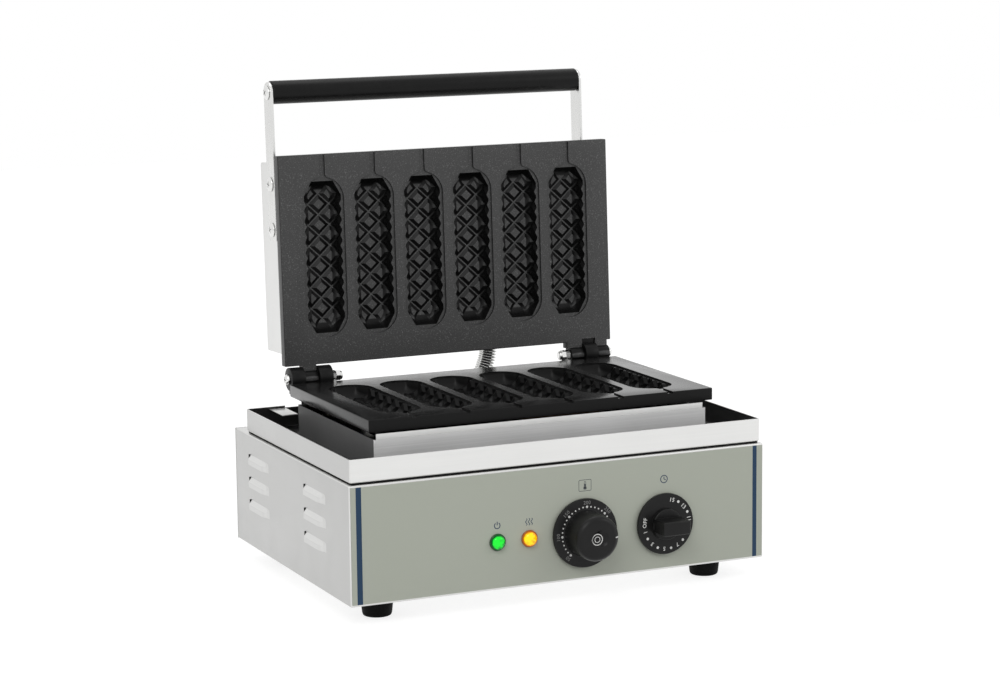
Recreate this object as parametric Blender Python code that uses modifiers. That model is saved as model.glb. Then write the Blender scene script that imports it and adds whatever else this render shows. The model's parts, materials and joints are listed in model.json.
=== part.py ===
"""Six-stick waffle baker for the counter top, modelled with its lid open.

Units are metres and +Z is up.  -Y is the front with the control panel and +X is
the right hand side seen from the front.  The origin lies on the table, in the
middle of the box that the open machine fills.
"""
import math

import bmesh
import bpy
from mathutils import Matrix, Vector

# Fits between pieces
FIT = 0.0003
OVERRUN = 0.004
WELD = 0.000001

# Sheet metal body
BODY_SIDE_ROOM = 0.0347
BODY_REAR_ROOM = 0.0634
BODY_H = 0.111
SHEET = 0.001
BODY_BEND = 0.0012
BODY_FLANGE = 0.012

# Feet
FOOT_STAND = 0.0204
FOOT_TOP_R = 0.0157
FOOT_BASE_R = 0.0135
FOOT_EDGE = 0.0015
FOOT_INSET_X = 0.0415
FOOT_INSET_Y = 0.041
FOOT_STUD = 0.006

# Side louvres
LOUVRE_L = 0.054
LOUVRE_H = 0.0095
LOUVRE_PROUD = 0.003
LOUVRE_FROM_FRONT = 0.0855
LOUVRE_FROM_REAR = 0.067
LOUVRE_BELOW_DECK = 0.0235
LOUVRE_PITCH = 0.0224
LOUVRE_ROWS = 3

# Bottom vents
VENT_L = 0.060
VENT_W = 0.005
VENT_PITCH = 0.014
VENT_COUNT = 8

# Front foil
FOIL_T = 0.0005
FOIL_SIDE_INSET = 0.0002
FOIL_TOP_INSET = 0.0005
FOIL_BOTTOM_INSET = 0.0008

# Drip tray
TRAY_SIDE_INSET = 0.00225
TRAY_FRONT_INSET = 0.0027
TRAY_REAR_ROOM = 0.0364
TRAY_RIM = 0.022
TRAY_REAR_DIP = 0.0019
TRAY_DIP_MARGIN = 0.0398
TRAY_TAB_W = 0.0165
TRAY_TAB_L = 0.038
SEAL_T = 0.001
SEAL_W = 0.010
SEAL_INSET = 0.0015

# Baking plates
PLATE_SIDE_MARGIN = 0.04535
PLATE_HINGE_MARGIN = 0.0306
PLATE_FRONT_MARGIN = 0.0266
PLATE_T = 0.0102
LOWER_PLATE_T = 0.0117
PLATE_FROM_FRONT = 0.0364
PLATE_LIFT = 0.0402
PLATE_GAP = 0.001
PLATE_EDGE = 0.0008
BLOCK_T = 0.012
BLOCK_SIDE_INSET = 0.018
BLOCK_HINGE_INSET = 0.0117
BLOCK_FRONT_INSET = 0.0152
BLOCK_EDGE = 0.003

# Stick cavities
CAVITIES = 6
CAVITY_PITCH = 0.0524
CAVITY_L = 0.147
CAVITY_W = 0.0376
CAVITY_DEPTH = 0.0146
CAVITY_FLANK = 0.0085
CAVITY_END_W = 0.0225
CAVITY_TAPER = 0.014
RECESS_END_MARGIN = 0.0045
RECESS_SIDE_MARGIN = 0.0029
RECESS_DEPTH = 0.0018
RECESS_STEPS = 8
CHANNEL_W = 0.0056
STUD_COUNT = 6
STUD_END_ROOM = 0.0225
STUD_GROOVE = 0.0028
STUD_TOP = 0.0052
STUD_H = 0.002

# Hinges
HINGE_SETBACK = 0.0126
HINGE_RISE = 0.0028
KNUCKLE_R_LOWER = 0.0113
KNUCKLE_R_UPPER = 0.0074
KNUCKLE_W = 0.0140
KNUCKLE_GAP = 0.0004
KNUCKLE_EDGE_INSET = 0.0036
NOTCH_ROOM = 0.0048
KNUCKLE_LUG_T = 0.006
KNUCKLE_LUG_H = 0.0142
EAR_EXTRA = 0.003
EAR_HEEL = 0.0068
EAR_SIDE_INSET_UPPER = 0.004
HINGE_BOLT_R = 0.003
HINGE_HEAD_R = 0.0052
HINGE_HEAD_T = 0.004
HINGE_NUT_R = 0.0055
HINGE_NUT_T = 0.0048
HINGE_LOCK_T = 0.0066
LID_OPEN_DEG = 92.5

# Posts and screws that hold each mould to its housing
POST_R = 0.005
POST_SIDE_MARGIN = 0.02035
POST_HINGE_MARGIN = 0.0195
POST_FRONT_MARGIN = 0.0207
POST_SCREW_DEPTH = 0.008

# Lower housing
HOUSING_SIDE_INSET = 0.0059
HOUSING_FRONT_INSET = 0.0028
HOUSING_REAR_INSET = 0.0052
HOUSING_H = 0.031
PAN_RISE = 0.005
PAN_INSET = 0.0015
PAN_SIDE_DROP = 0.009
DECK_CUT_SIDE_ROOM = 0.05635
DECK_CUT_END_ROOM = 0.0135

# Upper cover
COVER_SIDE_INSET = 0.0114
COVER_HINGE_INSET = 0.0070
COVER_FRONT_INSET = 0.0095
COVER_DEPTH = 0.0825
COVER_BEND = 0.002

# Heating element, clamp and insulation
ELEMENT_R = 0.004
ELEMENT_SIDE_ROOM = 0.05835
ELEMENT_END_ROOM = 0.0135
ELEMENT_RUNS = 4
ELEMENT_BEND_STEPS = 6
CLAMP_T = 0.0015
WOOL_T_LOWER = 0.005
WOOL_T_UPPER = 0.030
CLAMP_MARGIN = 0.006

# Lid handle
ARM_T = 0.0024
ARM_W = 0.0207
ARM_MIDDLE = 0.0460
ARM_LAP = 0.0848
ARM_SCREW_REACHES = (0.0106, 0.0552)
GRIP_BEYOND = 0.0598
GRIP_R = 0.0114
GRIP_WALL = 0.005
GRIP_EDGE = 0.001
ARM_TIP_STEPS = 8

# Screws
M5_R = 0.0025
M5_HEAD_R = 0.0048
M5_HEAD_T = 0.0026
ARM_HEAD_R = 0.0070
M4_R = 0.002
M4_HEAD_R = 0.0038
M4_HEAD_T = 0.0021
LONG_SHANK = 0.010
HOLE_PLAY = 0.0003
SCREW_STEPS = 8
HEAD_CROWN_SHARES = ((0.45, 1.0), (0.86, 0.72), (1.0, 0.3))

# Controls on the front panel
CONTROL_ROW_Z = 0.0450
THERMOSTAT_FROM_RIGHT = 0.19075
TIMER_FROM_RIGHT = 0.1073
POWER_LAMP_FROM_RIGHT = 0.2781
HEAT_LAMP_FROM_RIGHT = 0.24615
SHAFT_R = 0.003
SHAFT_PLAY = 0.0005
KNOB_STANDOFF = 0.0018
SKIRT_T = 0.0032
SKIRT_EDGE = 0.0006
KNOB_SOCKET_DEPTH = 0.014
THERMOSTAT_SKIRT_R = 0.0325
THERMOSTAT_CAP_R = 0.0218
THERMOSTAT_CAP_TIP_R = 0.0216
THERMOSTAT_CAP_ROUND = 0.006
THERMOSTAT_REACH = 0.034
THERMOSTAT_DIMPLE_R = 0.012
THERMOSTAT_DIMPLE_X = 0.0015
THERMOSTAT_DIMPLE_DEPTH = 0.0032
TIMER_SKIRT_R = 0.029
TIMER_HUB_R = 0.015
TIMER_HUB_T = 0.004
TIMER_GRIP_L = 0.0285
TIMER_GRIP_W = 0.0133
TIMER_GRIP_EDGE = 0.0025
TIMER_REACH = 0.0285
KNOB_STEPS = 32
KNOB_ROUND_STEPS = 3
LAMP_BEZEL_R = 0.0080
LAMP_BEZEL_T = 0.0015
LAMP_LENS_R = 0.0066
LAMP_DOME = 0.0045
LAMP_BODY_R = 0.0055
LAMP_BODY_L = 0.026
LAMP_STEPS = 20

# Works behind the panel
THERMOSTAT_BOX = (0.042, 0.034, 0.038)
TIMER_CASE_R = 0.024
TIMER_CASE_L = 0.034
BULB_R = 0.003
BULB_L = 0.080
CAPILLARY_SHARE = 0.3
CAPILLARY_BEND = 0.008
CAPILLARY_HOLE_R = 0.003
TERMINAL_BOX = (0.062, 0.024, 0.020)
TERMINAL_FROM_REAR = 0.070
TERMINAL_FROM_LEFT = 0.090
GLAND_FROM_LEFT = 0.060
GLAND_ABOVE_BASE = 0.035
GLAND_R = 0.011
GLAND_THREAD_R = 0.0078
GLAND_BORE_R = 0.0045
GLAND_OUT = 0.016
GLAND_IN = 0.010
GLAND_FLANGE = 0.004
EARTH_FROM_RIGHT = 0.060
EARTH_STUD_L = 0.014

# Spring conduit between body and lid
SPRING_R = 0.0091
SPRING_WIRE_R = 0.00085
SPRING_PITCH = 0.00255
SPRING_POINTS = 8
LEAD_R = 0.0050
LEAD_TAIL = 0.0085
SOCKET_WALL = 0.0018
SOCKET_CUP = 0.006
SOCKET_THREAD = 0.008
CONDUIT_X_BASE = 0.0404
CONDUIT_X_LID = 0.0544
CONDUIT_FROM_REAR = 0.0135
CONDUIT_LID_DEPTH = 0.034
CONDUIT_SLACK_SHARE = 0.42

# Sizes that follow from the sizes above
PLATE_W = (CAVITIES - 1) * CAVITY_PITCH + 2 * PLATE_SIDE_MARGIN
PLATE_D = PLATE_HINGE_MARGIN + CAVITY_L + PLATE_FRONT_MARGIN
PLATE_HALF = PLATE_W / 2
PLATE_REACH = HINGE_SETBACK + PLATE_D
BODY_W = PLATE_W + 2 * BODY_SIDE_ROOM
BODY_D = PLATE_FROM_FRONT + PLATE_D + BODY_REAR_ROOM
HALF_W = BODY_W / 2
RECESS_L = CAVITY_L + 2 * RECESS_END_MARGIN
RECESS_W = CAVITY_W + 2 * RECESS_SIDE_MARGIN
STUD_PITCH = (CAVITY_L - 2 * STUD_END_ROOM) / (STUD_COUNT - 1)
STUD_BASE = (STUD_PITCH - STUD_GROOVE) / 2
ELEMENT_HALF_W = PLATE_HALF - ELEMENT_SIDE_ROOM
ELEMENT_PITCH = (CAVITY_L - 2 * ELEMENT_END_ROOM) / (ELEMENT_RUNS - 1)
DECK_CUT_W = PLATE_W - 2 * DECK_CUT_SIDE_ROOM
DECK_CUT_D = CAVITY_L - 2 * DECK_CUT_END_ROOM
TRAY_REAR_FROM_FRONT = PLATE_FROM_FRONT + PLATE_D + TRAY_REAR_ROOM
TRAY_REAR_DIP_W = BODY_W - 2 * TRAY_SIDE_INSET - 2 * TRAY_DIP_MARGIN

# Reaches from the hinge axis along the lid
CAVITY_MIDDLE = HINGE_SETBACK + PLATE_HINGE_MARGIN + CAVITY_L / 2
POST_NEAR = HINGE_SETBACK + POST_HINGE_MARGIN
POST_FAR = PLATE_REACH - POST_FRONT_MARGIN
COVER_NEAR = HINGE_SETBACK + COVER_HINGE_INSET
COVER_FAR = PLATE_REACH - COVER_FRONT_INSET
ARM_START = PLATE_REACH - ARM_LAP
ARM_SCREWS = tuple(ARM_START + reach for reach in ARM_SCREW_REACHES)
GRIP_REACH = PLATE_REACH + GRIP_BEYOND

# Places that follow from the sizes above
POST_SIDE = PLATE_HALF - POST_SIDE_MARGIN
COVER_SIDE = PLATE_HALF - COVER_SIDE_INSET
THERMOSTAT_X = HALF_W - THERMOSTAT_FROM_RIGHT
TIMER_X = HALF_W - TIMER_FROM_RIGHT
POWER_LAMP_X = HALF_W - POWER_LAMP_FROM_RIGHT
HEAT_LAMP_X = HALF_W - HEAT_LAMP_FROM_RIGHT
EARTH_X = HALF_W - EARTH_FROM_RIGHT
TERMINAL_X = TERMINAL_FROM_LEFT - HALF_W
GLAND_X = GLAND_FROM_LEFT - HALF_W
BASE_Z = FOOT_STAND
DECK_Z = BASE_Z + BODY_H
PLATE_TOP_Z = DECK_Z + PLATE_LIFT + PLATE_T
HINGE_FROM_FRONT = PLATE_FROM_FRONT + PLATE_D + HINGE_SETBACK
LEAN = math.radians(LID_OPEN_DEG)
LID_FACE = PLATE_GAP - HINGE_RISE
REACH_FRONT = THERMOSTAT_REACH
REACH_REAR = (HINGE_FROM_FRONT - math.cos(LEAN) * COVER_FAR
              + math.sin(LEAN) * (COVER_DEPTH + LID_FACE) + M5_HEAD_T)
FRONT_Y = (REACH_FRONT - REACH_REAR) / 2
REAR_Y = FRONT_Y + BODY_D
HINGE_Y = FRONT_Y + HINGE_FROM_FRONT
HINGE_Z = PLATE_TOP_Z + HINGE_RISE
TRAY_Z = DECK_Z + SEAL_T + FIT
HOUSING_Z = DECK_Z + FIT
KNUCKLE_OUT = PLATE_HALF - KNUCKLE_EDGE_INSET
KNUCKLE_STEP = KNUCKLE_W + KNUCKLE_GAP
KNUCKLE_IN = KNUCKLE_OUT - 2 * KNUCKLE_STEP - KNUCKLE_W
POST_SPOTS = [(side * POST_SIDE, reach) for side in (-1, 1) for reach in (POST_NEAR, POST_FAR)]

PARTS = bpy.data.collections.new("waffle_stick_maker")
CUTTERS = bpy.data.collections.new("cutters")


def clear_scene():
    for old in list(bpy.data.objects):
        bpy.data.objects.remove(old, do_unlink=True)
    bpy.context.scene.collection.children.link(PARTS)
    bpy.context.scene.collection.children.link(CUTTERS)


def finish(name, color, rough, metal=0.0):
    made = bpy.data.materials.new(name)
    made.use_nodes = True
    made.diffuse_color = (*color, 1.0)
    shader = made.node_tree.nodes["Principled BSDF"]
    shader.inputs["Base Color"].default_value = (*color, 1.0)
    shader.inputs["Roughness"].default_value = rough
    shader.inputs["Metallic"].default_value = metal
    return made


def place(name, data, look=None, parent=None, spot=(0, 0, 0), turn=(0, 0, 0)):
    """Link a new object; without a look it is a cutter."""
    made = bpy.data.objects.new(name, data)
    made.location = spot
    made.rotation_euler = turn
    made.parent = parent
    if look is None:
        CUTTERS.objects.link(made)
        made.hide_render = True
        made.display_type = 'WIRE'
    else:
        PARTS.objects.link(made)
        own = look.copy()
        own.name = name
        made.data.materials.clear()
        made.data.materials.append(own)
    return made


def mesh_of(build):
    work = bmesh.new()
    build(work)
    data = bpy.data.meshes.new("shape")
    work.to_mesh(data)
    work.free()
    return data


def box_data(low, high):
    low = Vector(low)
    high = Vector(high)
    size = high - low
    stretch = Matrix.Diagonal((*size, 1.0))
    move = Matrix.Translation((low + high) / 2)

    def build(work):
        bmesh.ops.create_cube(work, size=1.0, matrix=move @ stretch)
    return mesh_of(build)


def rod_data(radius, start, end, steps=16, tip_radius=None):
    """A cylinder or cone between two points."""
    start = Vector(start)
    end = Vector(end)
    axis = end - start
    turn = axis.to_track_quat('Z', 'Y').to_matrix().to_4x4()
    move = Matrix.Translation((start + end) / 2)
    tip = radius if tip_radius is None else tip_radius

    def build(work):
        bmesh.ops.create_cone(work, cap_ends=True, segments=steps, radius1=radius,
                              radius2=tip, depth=axis.length, matrix=move @ turn)
    return mesh_of(build)


def together(pieces):
    """One mesh from several separate closed ones."""
    def build(work):
        for data, matrix in pieces:
            part = data.copy()
            part.transform(matrix)
            work.from_mesh(part)
            bpy.data.meshes.remove(part)
    return mesh_of(build)


def baked(source):
    """The evaluated shape of an object as a welded mesh; the object is removed."""
    bpy.context.view_layer.update()
    graph = bpy.context.evaluated_depsgraph_get()
    data = bpy.data.meshes.new_from_object(source.evaluated_get(graph))
    data.transform(source.matrix_world)
    work = bmesh.new()
    work.from_mesh(data)
    bmesh.ops.remove_doubles(work, verts=work.verts, dist=WELD)
    bmesh.ops.recalc_face_normals(work, faces=work.faces)
    work.to_mesh(data)
    work.free()
    data.materials.clear()
    bpy.data.objects.remove(source, do_unlink=True)
    return data


def turned_data(profile, steps, ring=False):
    """Screw a profile, listed down its outer side, about the local Z axis."""
    count = len(profile)
    edges = [(i, i + 1) for i in range(count - 1)]
    if ring:
        edges.append((count - 1, 0))
    data = bpy.data.meshes.new("profile")
    data.from_pydata([(r, 0, z) for r, z in profile], edges, [])
    source = place("profile", data)
    screw = source.modifiers.new("turn", 'SCREW')
    screw.steps = steps
    screw.render_steps = steps
    screw.use_merge_vertices = True
    screw.merge_threshold = WELD
    return baked(source)


def tube_data(points, radius, resolution=2):
    curve = bpy.data.curves.new("tube", 'CURVE')
    curve.dimensions = '3D'
    curve.bevel_depth = radius
    curve.bevel_resolution = resolution
    curve.use_fill_caps = True
    line = curve.splines.new('POLY')
    line.points.add(len(points) - 1)
    for spot, point in zip(line.points, points):
        spot.co = (*point, 1.0)
    return baked(place("tube", curve))


def outline_data(points, thickness, rounding=0.0, resolution=0):
    """A flat outline in XY, extruded to a thickness, with its edges rolled outwards."""
    curve = bpy.data.curves.new("outline", 'CURVE')
    curve.dimensions = '2D'
    curve.fill_mode = 'BOTH'
    curve.extrude = thickness / 2
    curve.bevel_depth = rounding
    curve.bevel_resolution = resolution
    line = curve.splines.new('POLY')
    line.points.add(len(points) - 1)
    line.use_cyclic_u = True
    for spot, (x, y) in zip(line.points, points):
        spot.co = (x, y, 0, 1.0)
    return baked(place("outline", curve))


def cut(target, data, action='DIFFERENCE', parent=None, spot=(0, 0, 0), turn=(0, 0, 0)):
    tool = place(target.name + "_cutter", data, None, parent or target.parent, spot, turn)
    change = target.modifiers.new(tool.name, 'BOOLEAN')
    change.operation = action
    change.solver = 'EXACT'
    change.object = tool
    return tool


def bevel(target, width, segments=1, angle=40):
    change = target.modifiers.new("edges", 'BEVEL')
    change.width = width
    change.segments = segments
    change.limit_method = 'ANGLE'
    change.angle_limit = math.radians(angle)
    return change


def smooth(target, angle=35):
    target.data.shade_smooth()
    target.data.set_sharp_from_angle(angle=math.radians(angle))
    return target


def arc(center, radius, start_deg, end_deg, steps):
    spots = []
    for i in range(steps + 1):
        angle = math.radians(start_deg + (end_deg - start_deg) * i / steps)
        spots.append((center[0] + radius * math.cos(angle), center[1] + radius * math.sin(angle)))
    return spots


def open_box_data(low, high, missing, flange=0.0):
    """A box surface without its missing sides, or with flanges around them."""
    def build(work):
        size = Vector(high) - Vector(low)
        middle = (Vector(high) + Vector(low)) / 2
        stretch = Matrix.Translation(middle) @ Matrix.Diagonal((*size, 1.0))
        bmesh.ops.create_cube(work, size=1.0, matrix=stretch)
        work.normal_update()
        gone = [face for face in work.faces
                if any(face.normal.dot(Vector(side)) > 0.5 for side in missing)]
        if flange:
            bmesh.ops.inset_individual(work, faces=gone, thickness=flange)
        bmesh.ops.delete(work, geom=gone, context='FACES')
    return mesh_of(build)


def sheet_box(name, look, low, high, missing, flange=0.0, bend=0.0, parent=None):
    made = place(name, open_box_data(low, high, missing, flange), look, parent)
    if bend:
        bevel(made, bend, 2)
    wall = made.modifiers.new("sheet", 'SOLIDIFY')
    wall.thickness = SHEET
    wall.offset = -1
    wall.use_even_offset = True
    return made


def screw_data(radius, head_radius, head, shank, steps=SCREW_STEPS):
    """A pan head screw along Z: the head stands on z = 0 and the shank runs down."""
    profile = [(0, head)]
    profile += [(head_radius * r, head * z) for r, z in HEAD_CROWN_SHARES]
    profile += [(head_radius, 0), (radius, 0), (radius, -shank), (0, -shank)]
    return turned_data(profile, steps)


def nut_data(radius, hole, thickness):
    """A hexagon nut standing on z = 0, with a hole that clears a round shank."""
    hole = hole / math.cos(math.pi / 6)
    profile = [(hole, thickness), (radius, thickness), (radius, 0), (hole, 0)]
    return turned_data(profile, 6, ring=True)


def aim(spot, direction):
    """The matrix that puts a shape made along Z at a spot, facing a direction."""
    turn = Vector(direction).to_track_quat('Z', 'Y').to_matrix().to_4x4()
    return Matrix.Translation(spot) @ turn


def fasten(names, look, data, spots, direction, parent=None):
    """One fastener of the same shape for each name and spot."""
    for name, spot in zip(names, spots):
        piece = data.copy()
        piece.transform(aim(spot, direction))
        smooth(place(name, piece, look, parent))


def drill(target, spots, direction, radius, reach, steps=8):
    """Holes along a direction, from reach before each spot to reach behind it."""
    way = Vector(direction).normalized() * reach
    rods = [(rod_data(radius, Vector(spot) - way, Vector(spot) + way, steps), Matrix()) for spot in spots]
    return cut(target, together(rods))


def sorted_box(x_range, y_range, z_range):
    low = [min(pair) for pair in (x_range, y_range, z_range)]
    high = [max(pair) for pair in (x_range, y_range, z_range)]
    return box_data(low, high)


clear_scene()
STEEL = finish("brushed_steel", (0.62, 0.62, 0.61), 0.32, 1.0)
BRIGHT = finish("bright_steel", (0.75, 0.75, 0.74), 0.2, 1.0)
CAST = finish("coated_casting", (0.055, 0.055, 0.055), 0.55, 0.3)
RUBBER = finish("black_rubber", (0.02, 0.02, 0.02), 0.8)
PLASTIC = finish("black_plastic", (0.015, 0.015, 0.015), 0.35)
FOIL = finish("printed_foil", (0.33, 0.36, 0.31), 0.45)
WOOL = finish("mineral_wool", (0.62, 0.58, 0.48), 0.95)
GREEN = finish("green_lens", (0.0, 0.75, 0.05), 0.15)
AMBER = finish("amber_lens", (0.95, 0.45, 0.02), 0.15)
BRASS = finish("brass", (0.7, 0.5, 0.2), 0.35, 1.0)
CERAMIC = finish("terminal_plastic", (0.75, 0.72, 0.65), 0.6)
LEAD = finish("lead_sleeve", (0.05, 0.05, 0.05), 0.7)

LID = bpy.data.objects.new("lid_hinge_axis", None)
LID.location = (0, HINGE_Y, HINGE_Z)
LID.rotation_euler = (-LEAN, 0, 0)
PARTS.objects.link(LID)

BED = bpy.data.objects.new("lower_mould_frame", None)
BED.location = (0, HINGE_Y, HINGE_Z)
PARTS.objects.link(BED)


def louvre_spots():
    spots = []
    for row in range(LOUVRE_ROWS):
        z = DECK_Z - LOUVRE_BELOW_DECK - row * LOUVRE_PITCH
        for y in (FRONT_Y + LOUVRE_FROM_FRONT, REAR_Y - LOUVRE_FROM_REAR):
            spots += [(-1, y, z), (1, y, z)]
    return spots


def louvre_data(side, y, z, wall, proud, sink):
    """A hood seen along Y: flush with the wall at its top and proud at its foot."""
    outline = [(wall, LOUVRE_H / 2), (wall + proud, -LOUVRE_H / 4), (wall + proud, -LOUVRE_H / 2 - sink),
               (wall - OVERRUN, -LOUVRE_H / 2 - sink), (wall - OVERRUN, LOUVRE_H / 2)]
    if side < 0:
        outline = [(-x, h) for x, h in reversed(outline)]
    data = outline_data(outline, LOUVRE_L - 2 * (sink > 0) * SHEET)
    data.transform(Matrix.Translation((0, y, z)) @ Matrix.Rotation(math.pi / 2, 4, 'X'))
    return data


def make_body():
    shell = sheet_box("base_shell", STEEL, (-HALF_W, FRONT_Y, BASE_Z), (HALF_W, REAR_Y, DECK_Z),
                      [(0, 1, 0), (0, 0, -1)], BODY_FLANGE, BODY_BEND)
    middle = HINGE_Y - CAVITY_MIDDLE
    cut(shell, box_data((-DECK_CUT_W / 2, middle - DECK_CUT_D / 2, DECK_Z - OVERRUN),
                        (DECK_CUT_W / 2, middle + DECK_CUT_D / 2, DECK_Z + OVERRUN)))
    hoods = []
    hollows = []
    for side, y, z in louvre_spots():
        hoods.append((louvre_data(side, y, z, HALF_W - SHEET / 2, LOUVRE_PROUD + SHEET / 2, 0), Matrix()))
        hollows.append((louvre_data(side, y, z, HALF_W - SHEET - SHEET / 2,
                                    LOUVRE_PROUD + SHEET / 2, SHEET), Matrix()))
    cut(shell, together(hoods), 'UNION')
    cut(shell, together(hollows))
    drill_panel(shell)
    drill(shell, foot_spots(), (0, 0, 1), M5_R + HOLE_PLAY, OVERRUN)
    drill(shell, [conduit_base()], (0, 0, 1), socket_thread_radius() + HOLE_PLAY, OVERRUN, 16)
    drill(shell, [(*bulb_way(), DECK_Z)], (0, 0, 1), CAPILLARY_HOLE_R, OVERRUN)

    rear = REAR_Y + FIT
    panel = place("rear_panel", box_data((-HALF_W, rear, BASE_Z), (HALF_W, rear + SHEET, DECK_Z)), STEEL)
    drill(panel, [gland_spot()], (0, 1, 0), GLAND_THREAD_R + HOLE_PLAY, OVERRUN, 16)

    floor_z = BASE_Z + SHEET + FIT
    inset = SHEET + BODY_BEND
    floor = place("bottom_plate", box_data((-HALF_W + inset, FRONT_Y + inset, floor_z),
                                           (HALF_W - inset, REAR_Y - inset, floor_z + SHEET)), STEEL)
    vents = []
    middle = (FRONT_Y + REAR_Y) / 2
    for i in range(VENT_COUNT):
        x = (i - (VENT_COUNT - 1) / 2) * VENT_PITCH
        vents.append((box_data((x - VENT_W / 2, middle - VENT_L / 2, floor_z - OVERRUN),
                               (x + VENT_W / 2, middle + VENT_L / 2, floor_z + OVERRUN)), Matrix()))
    cut(floor, together(vents))
    drill(floor, foot_spots(), (0, 0, 1), M5_R + HOLE_PLAY, OVERRUN)


def foot_spots():
    side = HALF_W - FOOT_INSET_X
    return [(x, y, BASE_Z) for y in (FRONT_Y + FOOT_INSET_Y, REAR_Y - FOOT_INSET_Y) for x in (-side, side)]


def make_feet():
    """Rubber feet with a moulded-in stud that holds them in the base."""
    top = BASE_Z - FIT
    stud = BASE_Z + 2 * SHEET + FIT + FOOT_STUD
    profile = [(0, stud), (M5_R, stud), (M5_R, top), (FOOT_TOP_R - FOOT_EDGE, top),
               (FOOT_TOP_R, top - FOOT_EDGE), (FOOT_BASE_R, FOOT_EDGE), (FOOT_BASE_R - FOOT_EDGE, 0), (0, 0)]
    shape = turned_data(profile, 16)
    names = ("foot_front_left", "foot_front_right", "foot_rear_left", "foot_rear_right")
    for name, spot in zip(names, foot_spots()):
        smooth(place(name, shape.copy(), RUBBER, None, (spot[0], spot[1], 0)))


def control_spots():
    z = BASE_Z + CONTROL_ROW_Z
    lamps = [(x, FRONT_Y, z) for x in (POWER_LAMP_X, HEAT_LAMP_X)]
    shafts = [(x, FRONT_Y, z) for x in (THERMOSTAT_X, TIMER_X)]
    return lamps, shafts


def drill_panel(target):
    lamps, shafts = control_spots()
    drill(target, lamps, (0, 1, 0), LAMP_BODY_R + HOLE_PLAY, OVERRUN, LAMP_STEPS)
    drill(target, shafts, (0, 1, 0), SHAFT_R + SHAFT_PLAY, OVERRUN, LAMP_STEPS)


def make_panel():
    foil = place("front_foil", box_data((-HALF_W + BODY_BEND + FOIL_SIDE_INSET, FRONT_Y - FIT - FOIL_T,
                                         BASE_Z + BODY_BEND + FOIL_BOTTOM_INSET),
                                        (HALF_W - BODY_BEND - FOIL_SIDE_INSET, FRONT_Y - FIT,
                                         DECK_Z - BODY_BEND - FOIL_TOP_INSET)), FOIL)
    drill_panel(foil)
    face = FRONT_Y - FIT - FOIL_T
    lamps, shafts = control_spots()
    for name, look, spot in (("power_lamp", GREEN, lamps[0]), ("heat_lamp", AMBER, lamps[1])):
        body = [(0, LAMP_BEZEL_T), (LAMP_BEZEL_R, LAMP_BEZEL_T), (LAMP_BEZEL_R, 0), (LAMP_BODY_R, 0),
                (LAMP_BODY_R, -LAMP_BODY_L), (0, -LAMP_BODY_L)]
        smooth(place(name + "_body", turned_data(body, LAMP_STEPS), look, None,
                     (spot[0], face - FIT, spot[2]), (math.pi / 2, 0, 0)))
        dome = [(LAMP_LENS_R * math.sin(math.pi / 2 * i / 4), LAMP_DOME * math.cos(math.pi / 2 * i / 4))
                for i in range(5)]
        smooth(place(name + "_lens", turned_data(dome + [(0, 0)], LAMP_STEPS), look, None,
                     (spot[0], face - FIT - LAMP_BEZEL_T - FIT, spot[2]), (math.pi / 2, 0, 0)))
    return face, shafts


def knob_frame(name, spot, face):
    """An empty on the shaft axis; its local +Z points out of the panel."""
    frame = bpy.data.objects.new(name, None)
    frame.location = (spot[0], face, spot[2])
    frame.rotation_euler = (math.pi / 2, 0, 0)
    PARTS.objects.link(frame)
    return frame


def knob_profile(skirt_r, inner):
    back = KNOB_STANDOFF
    return inner + [(skirt_r - SKIRT_EDGE, back + SKIRT_T), (skirt_r, back + SKIRT_T - SKIRT_EDGE),
                    (skirt_r, back), (0, back)]


def bore_knob(knob, axis):
    """The blind hole that the shaft sits in."""
    low = (0, 0, KNOB_STANDOFF - OVERRUN)
    high = (0, 0, KNOB_STANDOFF + KNOB_SOCKET_DEPTH)
    cut(knob, rod_data(SHAFT_R + FIT, low, high, 20), 'DIFFERENCE', axis)


def make_knobs(face, shafts):
    tip = THERMOSTAT_REACH - FIT - FOIL_T
    axis = knob_frame("thermostat_axis", shafts[0], face)
    rounding = arc((THERMOSTAT_CAP_TIP_R - THERMOSTAT_CAP_ROUND, tip - THERMOSTAT_CAP_ROUND),
                   THERMOSTAT_CAP_ROUND, 90, 0, KNOB_ROUND_STEPS)
    cap = [(0, tip)] + rounding + [(THERMOSTAT_CAP_R, KNOB_STANDOFF + SKIRT_T)]
    shape = turned_data(knob_profile(THERMOSTAT_SKIRT_R, cap), KNOB_STEPS)
    knob = place("thermostat_knob", shape, PLASTIC, axis)

    dimple = (THERMOSTAT_DIMPLE_X, 0, tip + THERMOSTAT_DIMPLE_R - THERMOSTAT_DIMPLE_DEPTH)

    def ball(work):
        bmesh.ops.create_uvsphere(work, u_segments=24, v_segments=16, radius=THERMOSTAT_DIMPLE_R,
                                  matrix=Matrix.Translation(dimple))
    cut(knob, mesh_of(ball))
    bore_knob(knob, axis)
    smooth(knob)

    axis = knob_frame("timer_axis", shafts[1], face)
    shoulder = KNOB_STANDOFF + SKIRT_T
    hub = [(0, shoulder + TIMER_HUB_T), (TIMER_HUB_R - SKIRT_EDGE, shoulder + TIMER_HUB_T),
           (TIMER_HUB_R, shoulder + TIMER_HUB_T - SKIRT_EDGE), (TIMER_HUB_R, shoulder)]
    knob = place("timer_knob", turned_data(knob_profile(TIMER_SKIRT_R, hub), KNOB_STEPS), PLASTIC, axis)
    grip = place("timer_grip", box_data((-TIMER_GRIP_L / 2, -TIMER_GRIP_W / 2, shoulder + TIMER_HUB_T / 2),
                                        (TIMER_GRIP_L / 2, TIMER_GRIP_W / 2, TIMER_REACH)))
    bevel(grip, TIMER_GRIP_EDGE, 2)
    cut(knob, baked(grip), 'UNION')
    bore_knob(knob, axis)


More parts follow.
